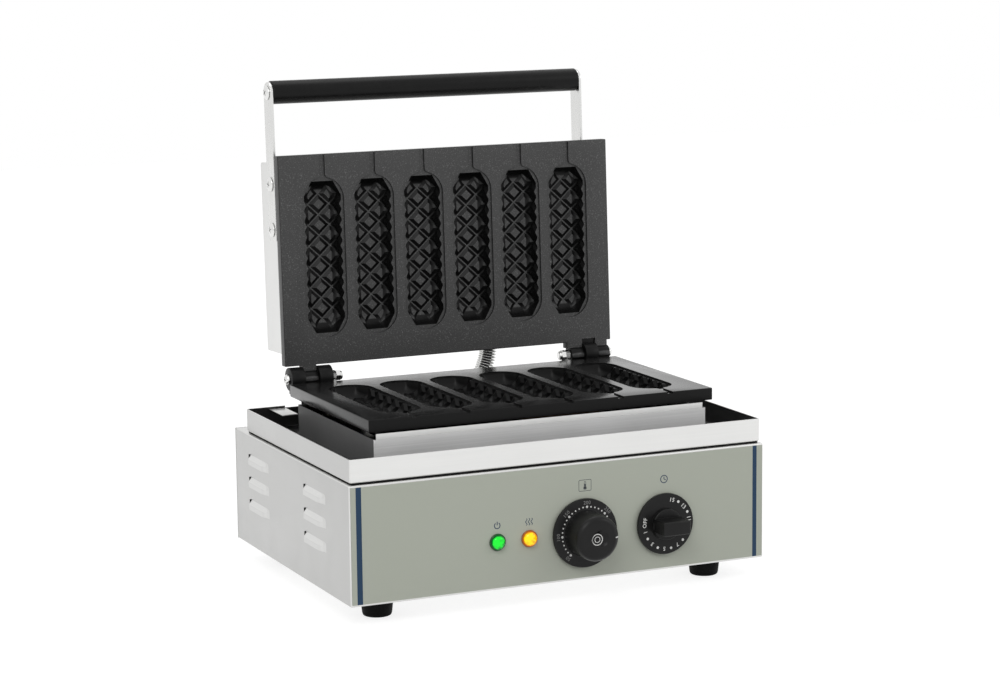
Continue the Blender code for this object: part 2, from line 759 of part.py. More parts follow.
def make_works(face, shafts):
    inner = FRONT_Y + SHEET
    wide, deep, high = THERMOSTAT_BOX
    x, y, z = shafts[0]
    box = place("thermostat_body", box_data((x - wide / 2, inner + FIT, z - high / 2),
                                            (x + wide / 2, inner + FIT + deep, z + high / 2)), CERAMIC)
    bevel(box, SHEET)
    for name, spot in (("thermostat_shaft", shafts[0]), ("timer_shaft", shafts[1])):
        start = Vector((spot[0], inner, spot[2]))
        end = Vector((spot[0], face - KNOB_STANDOFF - KNOB_SOCKET_DEPTH + FIT, spot[2]))
        smooth(place(name, rod_data(SHAFT_R, start, end, 12), BRIGHT))
    x, y, z = shafts[1]
    case = [(0, 0), (TIMER_CASE_R, 0), (TIMER_CASE_R, -TIMER_CASE_L), (0, -TIMER_CASE_L)]
    timer = place("timer_body", turned_data(case, 20), CERAMIC, None, (x, inner + FIT, z), (math.pi / 2, 0, 0))
    smooth(timer)

    wide, deep, high = TERMINAL_BOX
    floor_top = BASE_Z + 2 * SHEET + 2 * FIT
    y = REAR_Y - TERMINAL_FROM_REAR
    low = (TERMINAL_X - wide / 2, y - deep / 2, floor_top)
    block = place("terminal_block", box_data(low, (low[0] + wide, low[1] + deep, low[2] + high)), CERAMIC)
    poles = 3
    for i in range(poles - 1):
        x = TERMINAL_X + wide * ((i + 1) / poles - 1 / 2)
        groove = box_data((x - SHEET, y - deep, floor_top + high / 2),
                          (x + SHEET, y + deep, floor_top + 2 * high))
        cut(block, groove)
    stud = [(0, EARTH_STUD_L), (M4_R, EARTH_STUD_L), (M4_R, M4_HEAD_T), (M4_HEAD_R, M4_HEAD_T), (M4_HEAD_R, 0),
            (0, 0)]
    smooth(place("earth_stud", turned_data(stud, 12), BRASS, None, (EARTH_X, y, floor_top)))


def gland_spot():
    return (GLAND_X, REAR_Y, BASE_Z + GLAND_ABOVE_BASE)


def make_gland():
    x, y, z = gland_spot()
    body = [(GLAND_BORE_R, GLAND_OUT), (GLAND_BORE_R + SHEET, GLAND_OUT), (GLAND_R, GLAND_FLANGE),
            (GLAND_R, 0), (GLAND_THREAD_R, 0), (GLAND_THREAD_R, -GLAND_IN), (GLAND_BORE_R, -GLAND_IN)]
    smooth(place("cable_gland", turned_data(body, 16, ring=True), PLASTIC, None,
                 (x, y + SHEET + 2 * FIT, z), (-math.pi / 2, 0, 0)))


def make_tray():
    low = (-HALF_W + TRAY_SIDE_INSET, FRONT_Y + TRAY_FRONT_INSET, TRAY_Z)
    high = (HALF_W - TRAY_SIDE_INSET, FRONT_Y + TRAY_REAR_FROM_FRONT, TRAY_Z + TRAY_RIM)
    tray = sheet_box("drip_tray", STEEL, low, high, [(0, 0, 1)])
    x, front, rear, _ = housing_walls()
    cut(tray, box_data((-x - FIT, front - FIT, TRAY_Z - OVERRUN), (x + FIT, rear + FIT, TRAY_Z + OVERRUN)))
    dip = TRAY_Z + TRAY_RIM - TRAY_REAR_DIP
    cut(tray, box_data((-TRAY_REAR_DIP_W / 2, high[1] - OVERRUN, dip),
                       (TRAY_REAR_DIP_W / 2, high[1] + OVERRUN, high[2] + OVERRUN)))
    tabs = []
    for side in (-1, 1):
        near = side * TRAY_REAR_DIP_W / 2
        tabs.append((sorted_box((near, near + side * TRAY_TAB_W), (high[1] - SHEET / 2, high[1] - TRAY_TAB_L),
                                (dip - SHEET, dip)), Matrix()))
    cut(tray, together(tabs), 'UNION')

    inset = TRAY_SIDE_INSET + SEAL_INSET
    outer_low = (-HALF_W + inset, FRONT_Y + TRAY_FRONT_INSET + SEAL_INSET, DECK_Z + FIT / 2)
    outer_high = (HALF_W - inset, high[1] - SEAL_INSET, DECK_Z + FIT / 2 + SEAL_T)
    seal = place("tray_seal", box_data(outer_low, outer_high), RUBBER)
    cut(seal, box_data((outer_low[0] + SEAL_W, outer_low[1] + SEAL_W, DECK_Z - OVERRUN),
                       (outer_high[0] - SEAL_W, outer_high[1] - SEAL_W, DECK_Z + OVERRUN)))


def housing_walls():
    x = PLATE_HALF - HOUSING_SIDE_INSET
    front = FRONT_Y + PLATE_FROM_FRONT + HOUSING_FRONT_INSET
    rear = FRONT_Y + PLATE_FROM_FRONT + PLATE_D - HOUSING_REAR_INSET
    return x, front, rear, HOUSING_Z


def make_lower_housing():
    x, front, rear, z = housing_walls()
    housing = sheet_box("lower_housing", STEEL, (-x, front, z), (x, rear, z + HOUSING_H), [(0, 0, 1)])
    step = SHEET + FIT
    pan = sheet_box("heater_pan", BRIGHT, (-x + step + PAN_INSET, front + step, z + step),
                    (x - step - PAN_INSET, rear - step, z + HOUSING_H + PAN_RISE), [(0, 0, 1)])
    pan_x = x - step - PAN_INSET
    low_z = z + HOUSING_H - PAN_SIDE_DROP
    deep = step + SHEET + FIT
    sides = [(sorted_box((side * (pan_x - OVERRUN), side * (pan_x + OVERRUN)), (front + deep, rear - deep),
                         (low_z, z + HOUSING_H + PAN_RISE + OVERRUN)), Matrix()) for side in (-1, 1)]
    cut(pan, together(sides))
    for piece in (housing, pan):
        drill(piece, [(*bulb_way(), z)], (0, 0, 1), CAPILLARY_HOLE_R, OVERRUN)
        slot = LEAD_R
        cut(piece, box_data((-slot, HINGE_Y - CAVITY_MIDDLE - slot, z - OVERRUN),
                            (slot, HINGE_Y - CAVITY_MIDDLE + slot, z + OVERRUN)))


def cavity_centres():
    return [(i - (CAVITIES - 1) / 2) * CAVITY_PITCH for i in range(CAVITIES)]


def pocket_data():
    """A trough with sloping flanks and tapering ends, its mouth on the plane z = 0."""
    wide, long = CAVITY_W / 2, CAVITY_L / 2
    end = CAVITY_END_W / 2
    slant = Vector((CAVITY_TAPER, wide - end)).normalized()
    reach = slant.dot(Vector((wide, long - CAVITY_TAPER))) - CAVITY_FLANK
    low_x, low_y = wide - CAVITY_FLANK, long - CAVITY_FLANK
    corner_y = (reach - slant.x * low_x) / slant.y
    corner_x = (reach - slant.y * low_y) / slant.x
    quarter = [(low_x, corner_y), (corner_x, low_y)]
    points = quarter + [(-x, y) for x, y in reversed(quarter)]
    points += [(-x, -y) for x, y in quarter] + [(x, -y) for x, y in reversed(quarter)]
    return outline_data(points, 2 * (CAVITY_DEPTH - CAVITY_FLANK), CAVITY_FLANK)


def recess_data():
    """The shallow flat round the trough, a stadium as deep as the stick channel."""
    radius = RECESS_W / 2
    reach = RECESS_L / 2 - radius
    points = arc((0, reach), radius, 0, 180, RECESS_STEPS) + arc((0, -reach), radius, 180, 360, RECESS_STEPS)
    return outline_data(points, 2 * RECESS_DEPTH)


def make_casting(name, parent, way, face, slab_t, posts, knuckle_r, outer_side):
    """A mould in hinge axis coordinates; way is the side, -1 or 1, that its back lies on."""
    def layer(depth):
        return face + way * depth
    near = -HINGE_SETBACK
    far = near - PLATE_D
    slab = sorted_box((-PLATE_HALF, PLATE_HALF), (near, far), (layer(0), layer(slab_t)))
    plate = place(name, slab, CAST, parent)
    bevel(plate, PLATE_EDGE)

    block_far = far + BLOCK_FRONT_INSET
    block_x = PLATE_HALF - BLOCK_SIDE_INSET
    block = place("block", sorted_box((-block_x, block_x), (near - BLOCK_HINGE_INSET, block_far),
                                      (layer(PLATE_T / 2), layer(PLATE_T + BLOCK_T))))
    bevel(block, BLOCK_EDGE)
    cut(plate, baked(block), 'UNION', parent)

    ear_x = KNUCKLE_IN - EAR_EXTRA
    ear_out = KNUCKLE_OUT if way < 0 else PLATE_HALF - EAR_SIDE_INSET_UPPER
    lugs = []
    ear = sorted_box((outer_side * ear_x, outer_side * ear_out), (near - OVERRUN, 0),
                     (layer(0), layer(slab_t)))
    web = sorted_box((-outer_side * (KNUCKLE_IN + KNUCKLE_STEP), -outer_side * (KNUCKLE_OUT - KNUCKLE_STEP)),
                     (near - OVERRUN, 0), (layer(0), layer(slab_t)))
    lugs = [(ear, Matrix()), (web, Matrix())]
    cut(plate, together(lugs), 'UNION', parent)
    heel = sorted_box((outer_side * (ear_x - OVERRUN), outer_side * (KNUCKLE_IN + KNUCKLE_GAP)),
                      (-EAR_HEEL, OVERRUN), (face - 2 * PLATE_T, face + 2 * PLATE_T))
    cut(plate, heel, 'DIFFERENCE', parent)

    def knuckle(low_x, side):
        return rod_data(knuckle_r, (side * low_x, 0, 0), (side * (low_x + KNUCKLE_W), 0, 0), 24), Matrix()
    rings = [knuckle(KNUCKLE_IN, outer_side), knuckle(KNUCKLE_OUT - KNUCKLE_W, outer_side),
             knuckle(KNUCKLE_IN + KNUCKLE_STEP, -outer_side)]
    cut(plate, together(rings), 'UNION', parent)
    if way < 0:
        low_x = KNUCKLE_IN + KNUCKLE_STEP
        lug = sorted_box((-outer_side * low_x, -outer_side * (low_x + KNUCKLE_W)), (0, KNUCKLE_LUG_T),
                         (-KNUCKLE_LUG_T / 2, KNUCKLE_LUG_H))
        cut(plate, lug, 'UNION', parent)

    other_r = KNUCKLE_R_UPPER + KNUCKLE_R_LOWER - knuckle_r
    room = other_r + NOTCH_ROOM
    slot_low = KNUCKLE_IN + KNUCKLE_W
    slot_high = KNUCKLE_OUT - KNUCKLE_W
    notch = sorted_box((outer_side * slot_low, outer_side * slot_high), (-room, knuckle_r + OVERRUN),
                       (face - 2 * PLATE_T, face + 2 * PLATE_T))
    cut(plate, notch, 'DIFFERENCE', parent)
    bore = [(rod_data(HINGE_BOLT_R + FIT, (side * (KNUCKLE_IN - OVERRUN), 0, 0),
                      (side * (KNUCKLE_OUT + OVERRUN), 0, 0), 16), Matrix()) for side in (-1, 1)]
    cut(plate, together(bore), 'DIFFERENCE', parent)

    spots = [Matrix.Translation((x, -CAVITY_MIDDLE, face)) for x in cavity_centres()]
    recess = recess_data()
    cut(plate, together([(recess, spot) for spot in spots]), 'DIFFERENCE', parent)
    pocket = pocket_data()
    cut(plate, together([(pocket, spot) for spot in spots]), 'DIFFERENCE', parent)
    half = CHANNEL_W / 2
    start = -CAVITY_MIDDLE - RECESS_L / 2 + RECESS_DEPTH
    depths = (layer(-OVERRUN), layer(RECESS_DEPTH))
    channels = [(sorted_box((x - half, x + half), (start, far - OVERRUN), depths), Matrix())
                for x in cavity_centres()]
    cut(plate, together(channels), 'DIFFERENCE', parent)
    studs = []
    sunk = CAVITY_DEPTH + STUD_H / 4
    root = STUD_BASE + (STUD_BASE - STUD_TOP) / 4
    for x in cavity_centres():
        for row in range(STUD_COUNT):
            y = -CAVITY_MIDDLE + (row - (STUD_COUNT - 1) / 2) * STUD_PITCH
            tip = (x, y, layer(CAVITY_DEPTH - STUD_H))
            studs.append((rod_data(root, (x, y, layer(sunk)), tip, 4, STUD_TOP), Matrix()))
    cut(plate, together(studs), 'UNION', parent)

    pillars = [(rod_data(POST_R, (x, -reach, layer(PLATE_T / 2)), (x, -reach, layer(posts)), 10), Matrix())
               for x, reach in POST_SPOTS]
    cut(plate, together(pillars), 'UNION', parent)
    holes = [(rod_data(M5_R + HOLE_PLAY, (x, -reach, layer(posts - POST_SCREW_DEPTH - 2 * FIT)),
                       (x, -reach, layer(posts + OVERRUN)), 8), Matrix()) for x, reach in POST_SPOTS]
    cut(plate, together(holes), 'DIFFERENCE', parent)
    return plate


def element_points(depth_z):
    """Parallel runs along X joined by half circles, with both ends on the left."""
    points = []
    middle = -CAVITY_MIDDLE
    for run in range(ELEMENT_RUNS):
        y = middle + (run - (ELEMENT_RUNS - 1) / 2) * ELEMENT_PITCH
        side = 1 if run % 2 == 0 else -1
        if run in (0, ELEMENT_RUNS - 1):
            tail = (-ELEMENT_HALF_W - ELEMENT_PITCH / 2, y, depth_z)
        if run == 0:
            points.append(tail)
        if run < ELEMENT_RUNS - 1:
            bend = arc((side * ELEMENT_HALF_W, y + ELEMENT_PITCH / 2), ELEMENT_PITCH / 2, -90, 90,
                       ELEMENT_BEND_STEPS)
            for x, bend_y in bend:
                if side < 0:
                    x = -2 * ELEMENT_HALF_W - x
                points.append((x, bend_y, depth_z))
        else:
            points.append(tail)
    return points


def make_heat(prefix, parent, way, face, wool_t):
    block_x = PLATE_HALF - BLOCK_SIDE_INSET - CLAMP_MARGIN
    y_near = -HINGE_SETBACK - BLOCK_HINGE_INSET - CLAMP_MARGIN
    y_far = -HINGE_SETBACK - PLATE_D + BLOCK_FRONT_INSET + CLAMP_MARGIN

    def layer(depth):
        return face + way * depth
    depth = PLATE_T + BLOCK_T + FIT
    tube = tube_data(element_points(layer(depth + ELEMENT_R)), ELEMENT_R, 1)
    smooth(place(prefix + "_heater", tube, BRIGHT, parent))
    depth += 2 * ELEMENT_R + FIT
    clamp = place(prefix + "_heater_clamp", sorted_box((-block_x, block_x), (y_near, y_far),
                                                       (layer(depth), layer(depth + CLAMP_T))), STEEL, parent)
    depth += CLAMP_T + FIT
    wool = place(prefix + "_insulation", sorted_box((-block_x, block_x), (y_near, y_far),
                                                    (layer(depth), layer(depth + wool_t))), WOOL, parent)
    for piece in (clamp, wool):
        ends = (layer(0), layer(COVER_DEPTH))
        around = [(rod_data(POST_R + FIT, (x, -reach, ends[0]), (x, -reach, ends[1]), 10), Matrix())
                  for x, reach in POST_SPOTS]
        cut(piece, together(around), 'DIFFERENCE', parent)
    return depth + wool_t


def make_cover():
    """The lid's outer case, in hinge axis coordinates with the lid closed."""
    back = LID_FACE + COVER_DEPTH
    front = LID_FACE + PLATE_T + FIT
    case = sheet_box("lid_cover", STEEL, (-COVER_SIDE, -COVER_FAR, front), (COVER_SIDE, -COVER_NEAR, back),
                     [(0, 0, -1)], 0, COVER_BEND, LID)
    posts = [(x, -reach, back) for x, reach in POST_SPOTS]
    drill(case, posts, (0, 0, 1), M5_R + HOLE_PLAY, OVERRUN)
    arm_z = LID_FACE + ARM_MIDDLE
    arm_holes = [(side * COVER_SIDE, -reach, arm_z) for side in (-1, 1) for reach in ARM_SCREWS]
    drill(case, arm_holes, (1, 0, 0), M5_R + HOLE_PLAY, OVERRUN)
    drill(case, [(CONDUIT_X_LID, -COVER_NEAR, LID_FACE + CONDUIT_LID_DEPTH)], (0, 1, 0),
          socket_thread_radius() + HOLE_PLAY, OVERRUN, 16)
    shank = SHEET + POST_SCREW_DEPTH
    names = ("cover_screw_rear_left", "cover_screw_front_left",
             "cover_screw_rear_right", "cover_screw_front_right")
    fasten(names, BRIGHT, screw_data(M5_R, M5_HEAD_R, M5_HEAD_T, shank),
           [(x, y, z + FIT) for x, y, z in posts], (0, 0, 1), LID)


def make_handle():
    inner = COVER_SIDE + FIT
    outer = inner + ARM_T
    half = ARM_W / 2
    middle = LID_FACE + ARM_MIDDLE
    tip = arc((GRIP_REACH, middle), half, -90, 90, ARM_TIP_STEPS)
    outline = [(ARM_START, middle + half), (ARM_START, middle - half)] + tip
    holes = [(x, middle) for x in (*ARM_SCREWS, GRIP_REACH)]
    for name, side in (("handle_arm_left", -1), ("handle_arm_right", 1)):
        bar = outline_data(outline, ARM_T)
        stand = Matrix(((0, 0, 1, side * (inner + outer) / 2), (-1, 0, 0, 0), (0, 1, 0, 0), (0, 0, 0, 1)))
        bar.transform(stand)
        arm = place(name, bar, STEEL, LID)
        drill(arm, [(side * inner, -x, z) for x, z in holes], (1, 0, 0), M5_R + HOLE_PLAY, OVERRUN)
    end = inner - FIT
    shape = [(GRIP_R - GRIP_WALL, end), (GRIP_R - GRIP_EDGE, end), (GRIP_R, end - GRIP_EDGE),
             (GRIP_R, -end + GRIP_EDGE), (GRIP_R - GRIP_EDGE, -end), (GRIP_R - GRIP_WALL, -end)]
    smooth(place("handle_grip", turned_data(shape, 24, ring=True), PLASTIC, LID,
                 (0, -GRIP_REACH, middle), (0, math.pi / 2, 0)))
    core = GRIP_R - GRIP_WALL - FIT
    drilled = M5_R + HOLE_PLAY
    deep = LONG_SHANK + 2 * FIT
    rod = [(drilled, end), (core, end), (core, -end), (drilled, -end), (drilled, -end + deep),
           (0, -end + deep), (0, end - deep), (drilled, end - deep)]
    smooth(place("handle_rod", turned_data(rod, 12, ring=True), BRIGHT, LID,
                 (0, -GRIP_REACH, middle), (0, math.pi / 2, 0)))
    screw = screw_data(M5_R, ARM_HEAD_R, M5_HEAD_T, LONG_SHANK)
    for name, side in (("left", -1), ("right", 1)):
        spots = [(side * (outer + FIT), -x, middle) for x in (*ARM_SCREWS, GRIP_REACH)]
        names = ["arm_screw_%s_rear" % name, "arm_screw_%s_front" % name, "grip_screw_%s" % name]
        fasten(names, BRIGHT, screw, spots, (side, 0, 0), LID)


def make_hinge_bolts():
    lock = nut_data(HINGE_NUT_R, HINGE_BOLT_R + FIT, HINGE_LOCK_T)
    plain = nut_data(HINGE_NUT_R, HINGE_BOLT_R + FIT, HINGE_NUT_T)
    stack = HINGE_NUT_T + HINGE_LOCK_T + 3 * FIT
    shank = KNUCKLE_OUT - KNUCKLE_IN + stack + FIT
    bolt = screw_data(HINGE_BOLT_R, HINGE_HEAD_R, HINGE_HEAD_T, shank, 12)
    for name, side in (("left", -1), ("right", 1)):
        fasten(["hinge_bolt_" + name], BRIGHT, bolt, [(side * (KNUCKLE_OUT + FIT), 0, 0)], (side, 0, 0), BED)
        fasten(["hinge_nut_" + name], BRIGHT, plain, [(side * (KNUCKLE_IN - FIT), 0, 0)], (-side, 0, 0), BED)
        locked = side * (KNUCKLE_IN - HINGE_NUT_T - 2 * FIT)
        fasten(["hinge_lock_nut_" + name], BRIGHT, lock, [(locked, 0, 0)], (-side, 0, 0), BED)


def socket_thread_radius():
    return LEAD_R + FIT + SOCKET_WALL


def conduit_base():
    return Vector((CONDUIT_X_BASE, REAR_Y - CONDUIT_FROM_REAR, DECK_Z))


def conduit_lid():
    """The conduit's seat on the lid's case, in world coordinates at rest."""
    local = Vector((CONDUIT_X_LID, -COVER_NEAR, LID_FACE + CONDUIT_LID_DEPTH))
    return Matrix.Translation((0, HINGE_Y, HINGE_Z)) @ Matrix.Rotation(-LEAN, 4, 'X') @ local


def conduit_route(count):
    """A smooth curve between the two sockets, straight and square where it lies in them."""
    up = Vector((0, 0, 1))
    away = Matrix.Rotation(-LEAN, 4, 'X') @ Vector((0, 1, 0))
    first = conduit_base()
    last = conduit_lid()
    start = first + up * SOCKET_CUP
    end = last + away * SOCKET_CUP
    pull = (end - start).length * CONDUIT_SLACK_SHARE
    knots = [start, start + up * pull, end + away * pull, end]
    route = [first]
    for i in range(count):
        t = i / (count - 1)
        weights = ((1 - t) ** 3, 3 * t * (1 - t) ** 2, 3 * t ** 2 * (1 - t), t ** 3)
        route.append(sum((knot * weight for knot, weight in zip(knots, weights)), Vector((0, 0, 0))))
    return route + [last]


def walk(route, distance):
    """The point and direction at a distance along a route."""
    for a, b in zip(route, route[1:]):
        step = (b - a).length
        if distance <= step:
            return a.lerp(b, distance / step), (b - a).normalized()
        distance -= step
    last = (route[-1] - route[-2]).normalized()
    return route[-1] + last * distance, last


def spring_points():
    """One unbroken helix about the conduit's route, with straight ends."""
    route = conduit_route(60)
    length = sum((b - a).length for a, b in zip(route, route[1:]))
    first = SOCKET_WALL + FIT + 2 * SPRING_WIRE_R
    span = length - 2 * first
    curls = int(span / SPRING_PITCH)
    mid_r = SPRING_R - SPRING_WIRE_R
    points = []
    for i in range(curls * SPRING_POINTS + 1):
        distance = first + span * i / (curls * SPRING_POINTS)
        spot, way = walk(route, distance)
        side = way.cross(Vector((0, 1, 0))).normalized()
        other = side.cross(way)
        angle = 2 * math.pi * i / SPRING_POINTS
        points.append(spot + (side * math.cos(angle) + other * math.sin(angle)) * mid_r)
    lead_in = 2 * SPRING_WIRE_R
    before = (points[0] - points[1]).normalized() * lead_in
    after = (points[-1] - points[-2]).normalized() * lead_in
    points = [points[0] + before] + points + [points[-1] + after]
    print_least_gap(points, SPRING_POINTS)
    return points


def print_least_gap(points, per_curl):
    least = min((points[i] - points[j]).length for i in range(len(points) - per_curl)
                for j in range(i + per_curl - 2, min(i + per_curl + 3, len(points))))
    print("spring: least gap to itself %.2f mm" % ((least - 2 * SPRING_WIRE_R) * 1000))


def make_conduit():
    smooth(place("conduit_spring", tube_data(spring_points(), SPRING_WIRE_R, 1), BRIGHT))
    route = conduit_route(12)
    up = Vector((0, 0, 1))
    start = route[0] - up * LEAD_TAIL
    end = route[-1] + (route[-1] - route[-2]).normalized() * LEAD_TAIL
    smooth(place("conduit_lead", tube_data([start] + route + [end], LEAD_R, 2), LEAD))
    bore = LEAD_R + FIT
    thread = socket_thread_radius()
    cup = SPRING_R + 2 * FIT + SPRING_WIRE_R / 2
    rim = cup + SOCKET_WALL
    profile = [(cup, SOCKET_CUP), (rim, SOCKET_CUP), (rim, FIT), (thread, FIT), (thread, -SOCKET_THREAD),
               (bore, -SOCKET_THREAD), (bore, SOCKET_WALL), (cup, SOCKET_WALL)]
    shape = turned_data(profile, 20, ring=True)
    smooth(place("conduit_socket_base", shape, BRIGHT, None, conduit_base()))
    seat = (CONDUIT_X_LID, -COVER_NEAR, LID_FACE + CONDUIT_LID_DEPTH)
    smooth(place("conduit_socket_lid", shape.copy(), BRIGHT, LID, seat, (-math.pi / 2, 0, 0)))


def bulb_line():
    """The thermostat's sensing bulb lies along the front of the lower mould's block."""
    y = HINGE_Y - HINGE_SETBACK - PLATE_D + BLOCK_FRONT_INSET - BULB_R - FIT
    return y, PLATE_TOP_Z - LOWER_PLATE_T - BULB_R - FIT


def bulb_way():
    """Where the capillary drops through the floors and the deck."""
    return THERMOSTAT_X + BULB_L / 2 + CAPILLARY_BEND + BULB_R, bulb_line()[0]


def make_bulb():
    y, z = bulb_line()
    left = THERMOSTAT_X - BULB_L / 2
    right = THERMOSTAT_X + BULB_L / 2
    down_x = bulb_way()[0]
    bend = down_x - right - BULB_R
    body_rear = FRONT_Y + SHEET + FIT + THERMOSTAT_BOX[1]
    low = BASE_Z + CONTROL_ROW_Z
    route = [(left, y, z, 1), (right, y, z, 1), (right + BULB_R, y, z, CAPILLARY_SHARE)]
    turn = arc((down_x - bend, z - bend), bend, 90, 0, 4)
    route += [(x, y, height, CAPILLARY_SHARE) for x, height in turn[1:]]
    swing = y - body_rear - FIT - SHEET
    route += [(down_x, y, low + 2 * swing, CAPILLARY_SHARE)]
    for turn_y, height in arc((y - swing, low + swing), swing, 0, -90, 4):
        share = (low + 2 * swing - height) / (2 * swing)
        x = down_x + (THERMOSTAT_X + THERMOSTAT_BOX[0] / 3 - down_x) * share
        route.append((x, turn_y, height, CAPILLARY_SHARE))
    route.append((route[-1][0], body_rear + FIT, low, CAPILLARY_SHARE))
    curve = bpy.data.curves.new("bulb", 'CURVE')
    curve.dimensions = '3D'
    curve.bevel_depth = BULB_R
    curve.bevel_resolution = 1
    curve.use_fill_caps = True
    line = curve.splines.new('POLY')
    line.points.add(len(route) - 1)
    for spot, (x, way, height, share) in zip(line.points, route):
        spot.co = (x, way, height, 1.0)
        spot.radius = share
    smooth(place("thermostat_bulb", baked(place("bulb", curve)), BRASS))


make_body()
make_feet()
panel_face, shaft_spots = make_panel()
make_knobs(panel_face, shaft_spots)
make_works(panel_face, shaft_spots)
make_gland()
make_tray()
make_lower_housing()
LOWER_POSTS = PLATE_T + PLATE_LIFT - 2 * SHEET - 4 * FIT
UPPER_POSTS = COVER_DEPTH - SHEET - FIT
make_casting("lower_plate", BED, -1, -HINGE_RISE, LOWER_PLATE_T, LOWER_POSTS, KNUCKLE_R_LOWER, -1)
make_casting("upper_plate", LID, 1, LID_FACE, PLATE_T, UPPER_POSTS, KNUCKLE_R_UPPER, 1)
make_heat("lower", BED, -1, -HINGE_RISE, WOOL_T_LOWER)
make_heat("upper", LID, 1, LID_FACE, WOOL_T_UPPER)
make_cover()
make_handle()
make_hinge_bolts()
make_conduit()
make_bulb()
bpy.context.view_layer.update()
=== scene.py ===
"""Looks of the six-stick waffle baker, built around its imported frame.

Units are metres and +Z is up.  The front panel faces -Y.  Pieces on the lid are
modelled with the lid closed, in coordinates that start on the hinge axis, and are
then turned open to where the frame holds them.
"""

import json
import math

import bmesh
import bpy
from mathutils import Euler, Matrix, Vector


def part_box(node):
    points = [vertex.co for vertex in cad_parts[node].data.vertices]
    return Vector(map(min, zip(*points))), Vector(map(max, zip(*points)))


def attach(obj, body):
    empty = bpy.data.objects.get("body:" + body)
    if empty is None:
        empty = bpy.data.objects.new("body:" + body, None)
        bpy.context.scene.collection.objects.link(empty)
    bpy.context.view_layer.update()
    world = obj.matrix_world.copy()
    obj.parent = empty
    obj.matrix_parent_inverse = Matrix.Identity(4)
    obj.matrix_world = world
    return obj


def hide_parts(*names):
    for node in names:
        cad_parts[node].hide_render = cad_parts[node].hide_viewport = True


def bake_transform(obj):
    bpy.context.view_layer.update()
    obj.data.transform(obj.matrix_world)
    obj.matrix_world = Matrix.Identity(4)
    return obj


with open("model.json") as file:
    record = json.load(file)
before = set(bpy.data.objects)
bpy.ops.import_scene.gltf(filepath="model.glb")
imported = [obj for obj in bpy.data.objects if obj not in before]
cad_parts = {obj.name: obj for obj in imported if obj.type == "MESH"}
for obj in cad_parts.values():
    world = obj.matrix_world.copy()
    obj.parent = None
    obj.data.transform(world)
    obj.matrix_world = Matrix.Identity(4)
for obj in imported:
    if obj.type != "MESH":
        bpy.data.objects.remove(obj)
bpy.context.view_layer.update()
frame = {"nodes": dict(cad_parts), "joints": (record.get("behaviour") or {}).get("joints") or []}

MM = 0.001
WELD = 0.000001
UP = Vector((0, 0, 1))
TO_REAR = Vector((0, 1, 0))
SIDES = (("left", -1), ("right", 1))

# Places read from the frame
JOINTS = {joint["name"]: joint for joint in frame["joints"]}
HINGE = Vector(JOINTS["lid"]["pos_m"])
LEAN = math.radians(JOINTS["lid"]["range_deg"][1])
OPEN_LID = Matrix.Translation(HINGE) @ Matrix.Rotation(-LEAN, 4, 'X')
CLOSED_BED = Matrix.Translation(HINGE)
REAR_LOW, REAR_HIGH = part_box("rear_panel")
FOIL_LOW, FOIL_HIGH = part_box("front_foil")
HALF_W = REAR_HIGH[0]
BASE_Z = REAR_LOW[2]
DECK_Z = REAR_HIGH[2]
FIT = 0.3 * MM
SHEET = 1.0 * MM
RISE = 4.0 * MM
FOIL_FACE = FOIL_LOW[1]
FRONT_Y = FOIL_HIGH[1] + FIT
REAR_Y = REAR_LOW[1] - FIT

# The photograph's camera
CAMERA_SPOT = (-1.08772, -2.41616, 0.66100)
CAMERA_TURN_DEG = (80.5753, 0.6106, -24.5096)
CAMERA_LENS = 100.417


def clean_normals(data):
    work = bmesh.new()
    work.from_mesh(data)
    bmesh.ops.remove_doubles(work, verts=work.verts, dist=WELD)
    bmesh.ops.dissolve_degenerate(work, edges=work.edges, dist=WELD)
    bmesh.ops.recalc_face_normals(work, faces=work.faces)
    work.to_mesh(data)
    work.free()
    return data


def mesh_of(build):
    work = bmesh.new()
    build(work)
    data = bpy.data.meshes.new("shape")
    work.to_mesh(data)
    work.free()
    return data


def add_cube(work, low, high):
    low, high = Vector(low), Vector(high)
    stretch = Matrix.Translation((low + high) / 2) @ Matrix.Diagonal((*(high - low), 1.0))
    bmesh.ops.create_cube(work, size=1.0, matrix=stretch)


def box_data(low, high):
    def build(work):
        add_cube(work, low, high)
    return mesh_of(build)


def range_box(x_range, y_range, z_range):
    """A box between two values along each axis, in either order."""
    low = [min(pair) for pair in (x_range, y_range, z_range)]
    high = [max(pair) for pair in (x_range, y_range, z_range)]
    return box_data(low, high)


def rod_data(radius, start, end, steps=32):
    start, end = Vector(start), Vector(end)
    axis = end - start
    turn = axis.to_track_quat('Z', 'Y').to_matrix().to_4x4()

    def build(work):
        bmesh.ops.create_cone(work, cap_ends=True, segments=steps, radius1=radius, radius2=radius,
                              depth=axis.length, matrix=Matrix.Translation((start + end) / 2) @ turn)
    return mesh_of(build)


def linked(name, data):
    made = bpy.data.objects.new(name, data)
    bpy.context.scene.collection.objects.link(made)
    return made


def hole_data(radius, spot, way, steps=16):
    """A round cutter that reaches RISE to both sides of the spot."""
    reach = Vector(way) * RISE
    return rod_data(radius, Vector(spot) - reach, Vector(spot) + reach, steps)


def temporary(data):
    return linked("work", data)


def settled(source):
    """The evaluated shape of an object, in place, as a mesh; the object is removed."""
    bpy.context.view_layer.update()
    graph = bpy.context.evaluated_depsgraph_get()
    data = bpy.data.meshes.new_from_object(source.evaluated_get(graph), preserve_all_data_layers=True,
                                           depsgraph=graph)
    data.transform(source.matrix_world)
    bpy.data.objects.remove(source, do_unlink=True)
    return data


def joined(pieces):
    def build(work):
        for data in pieces:
            work.from_mesh(data)
    return mesh_of(build)


def at(*spot):
    return Matrix.Translation(spot)


def moved(data, matrix):
    copy = data.copy()
    copy.transform(matrix)
    return copy


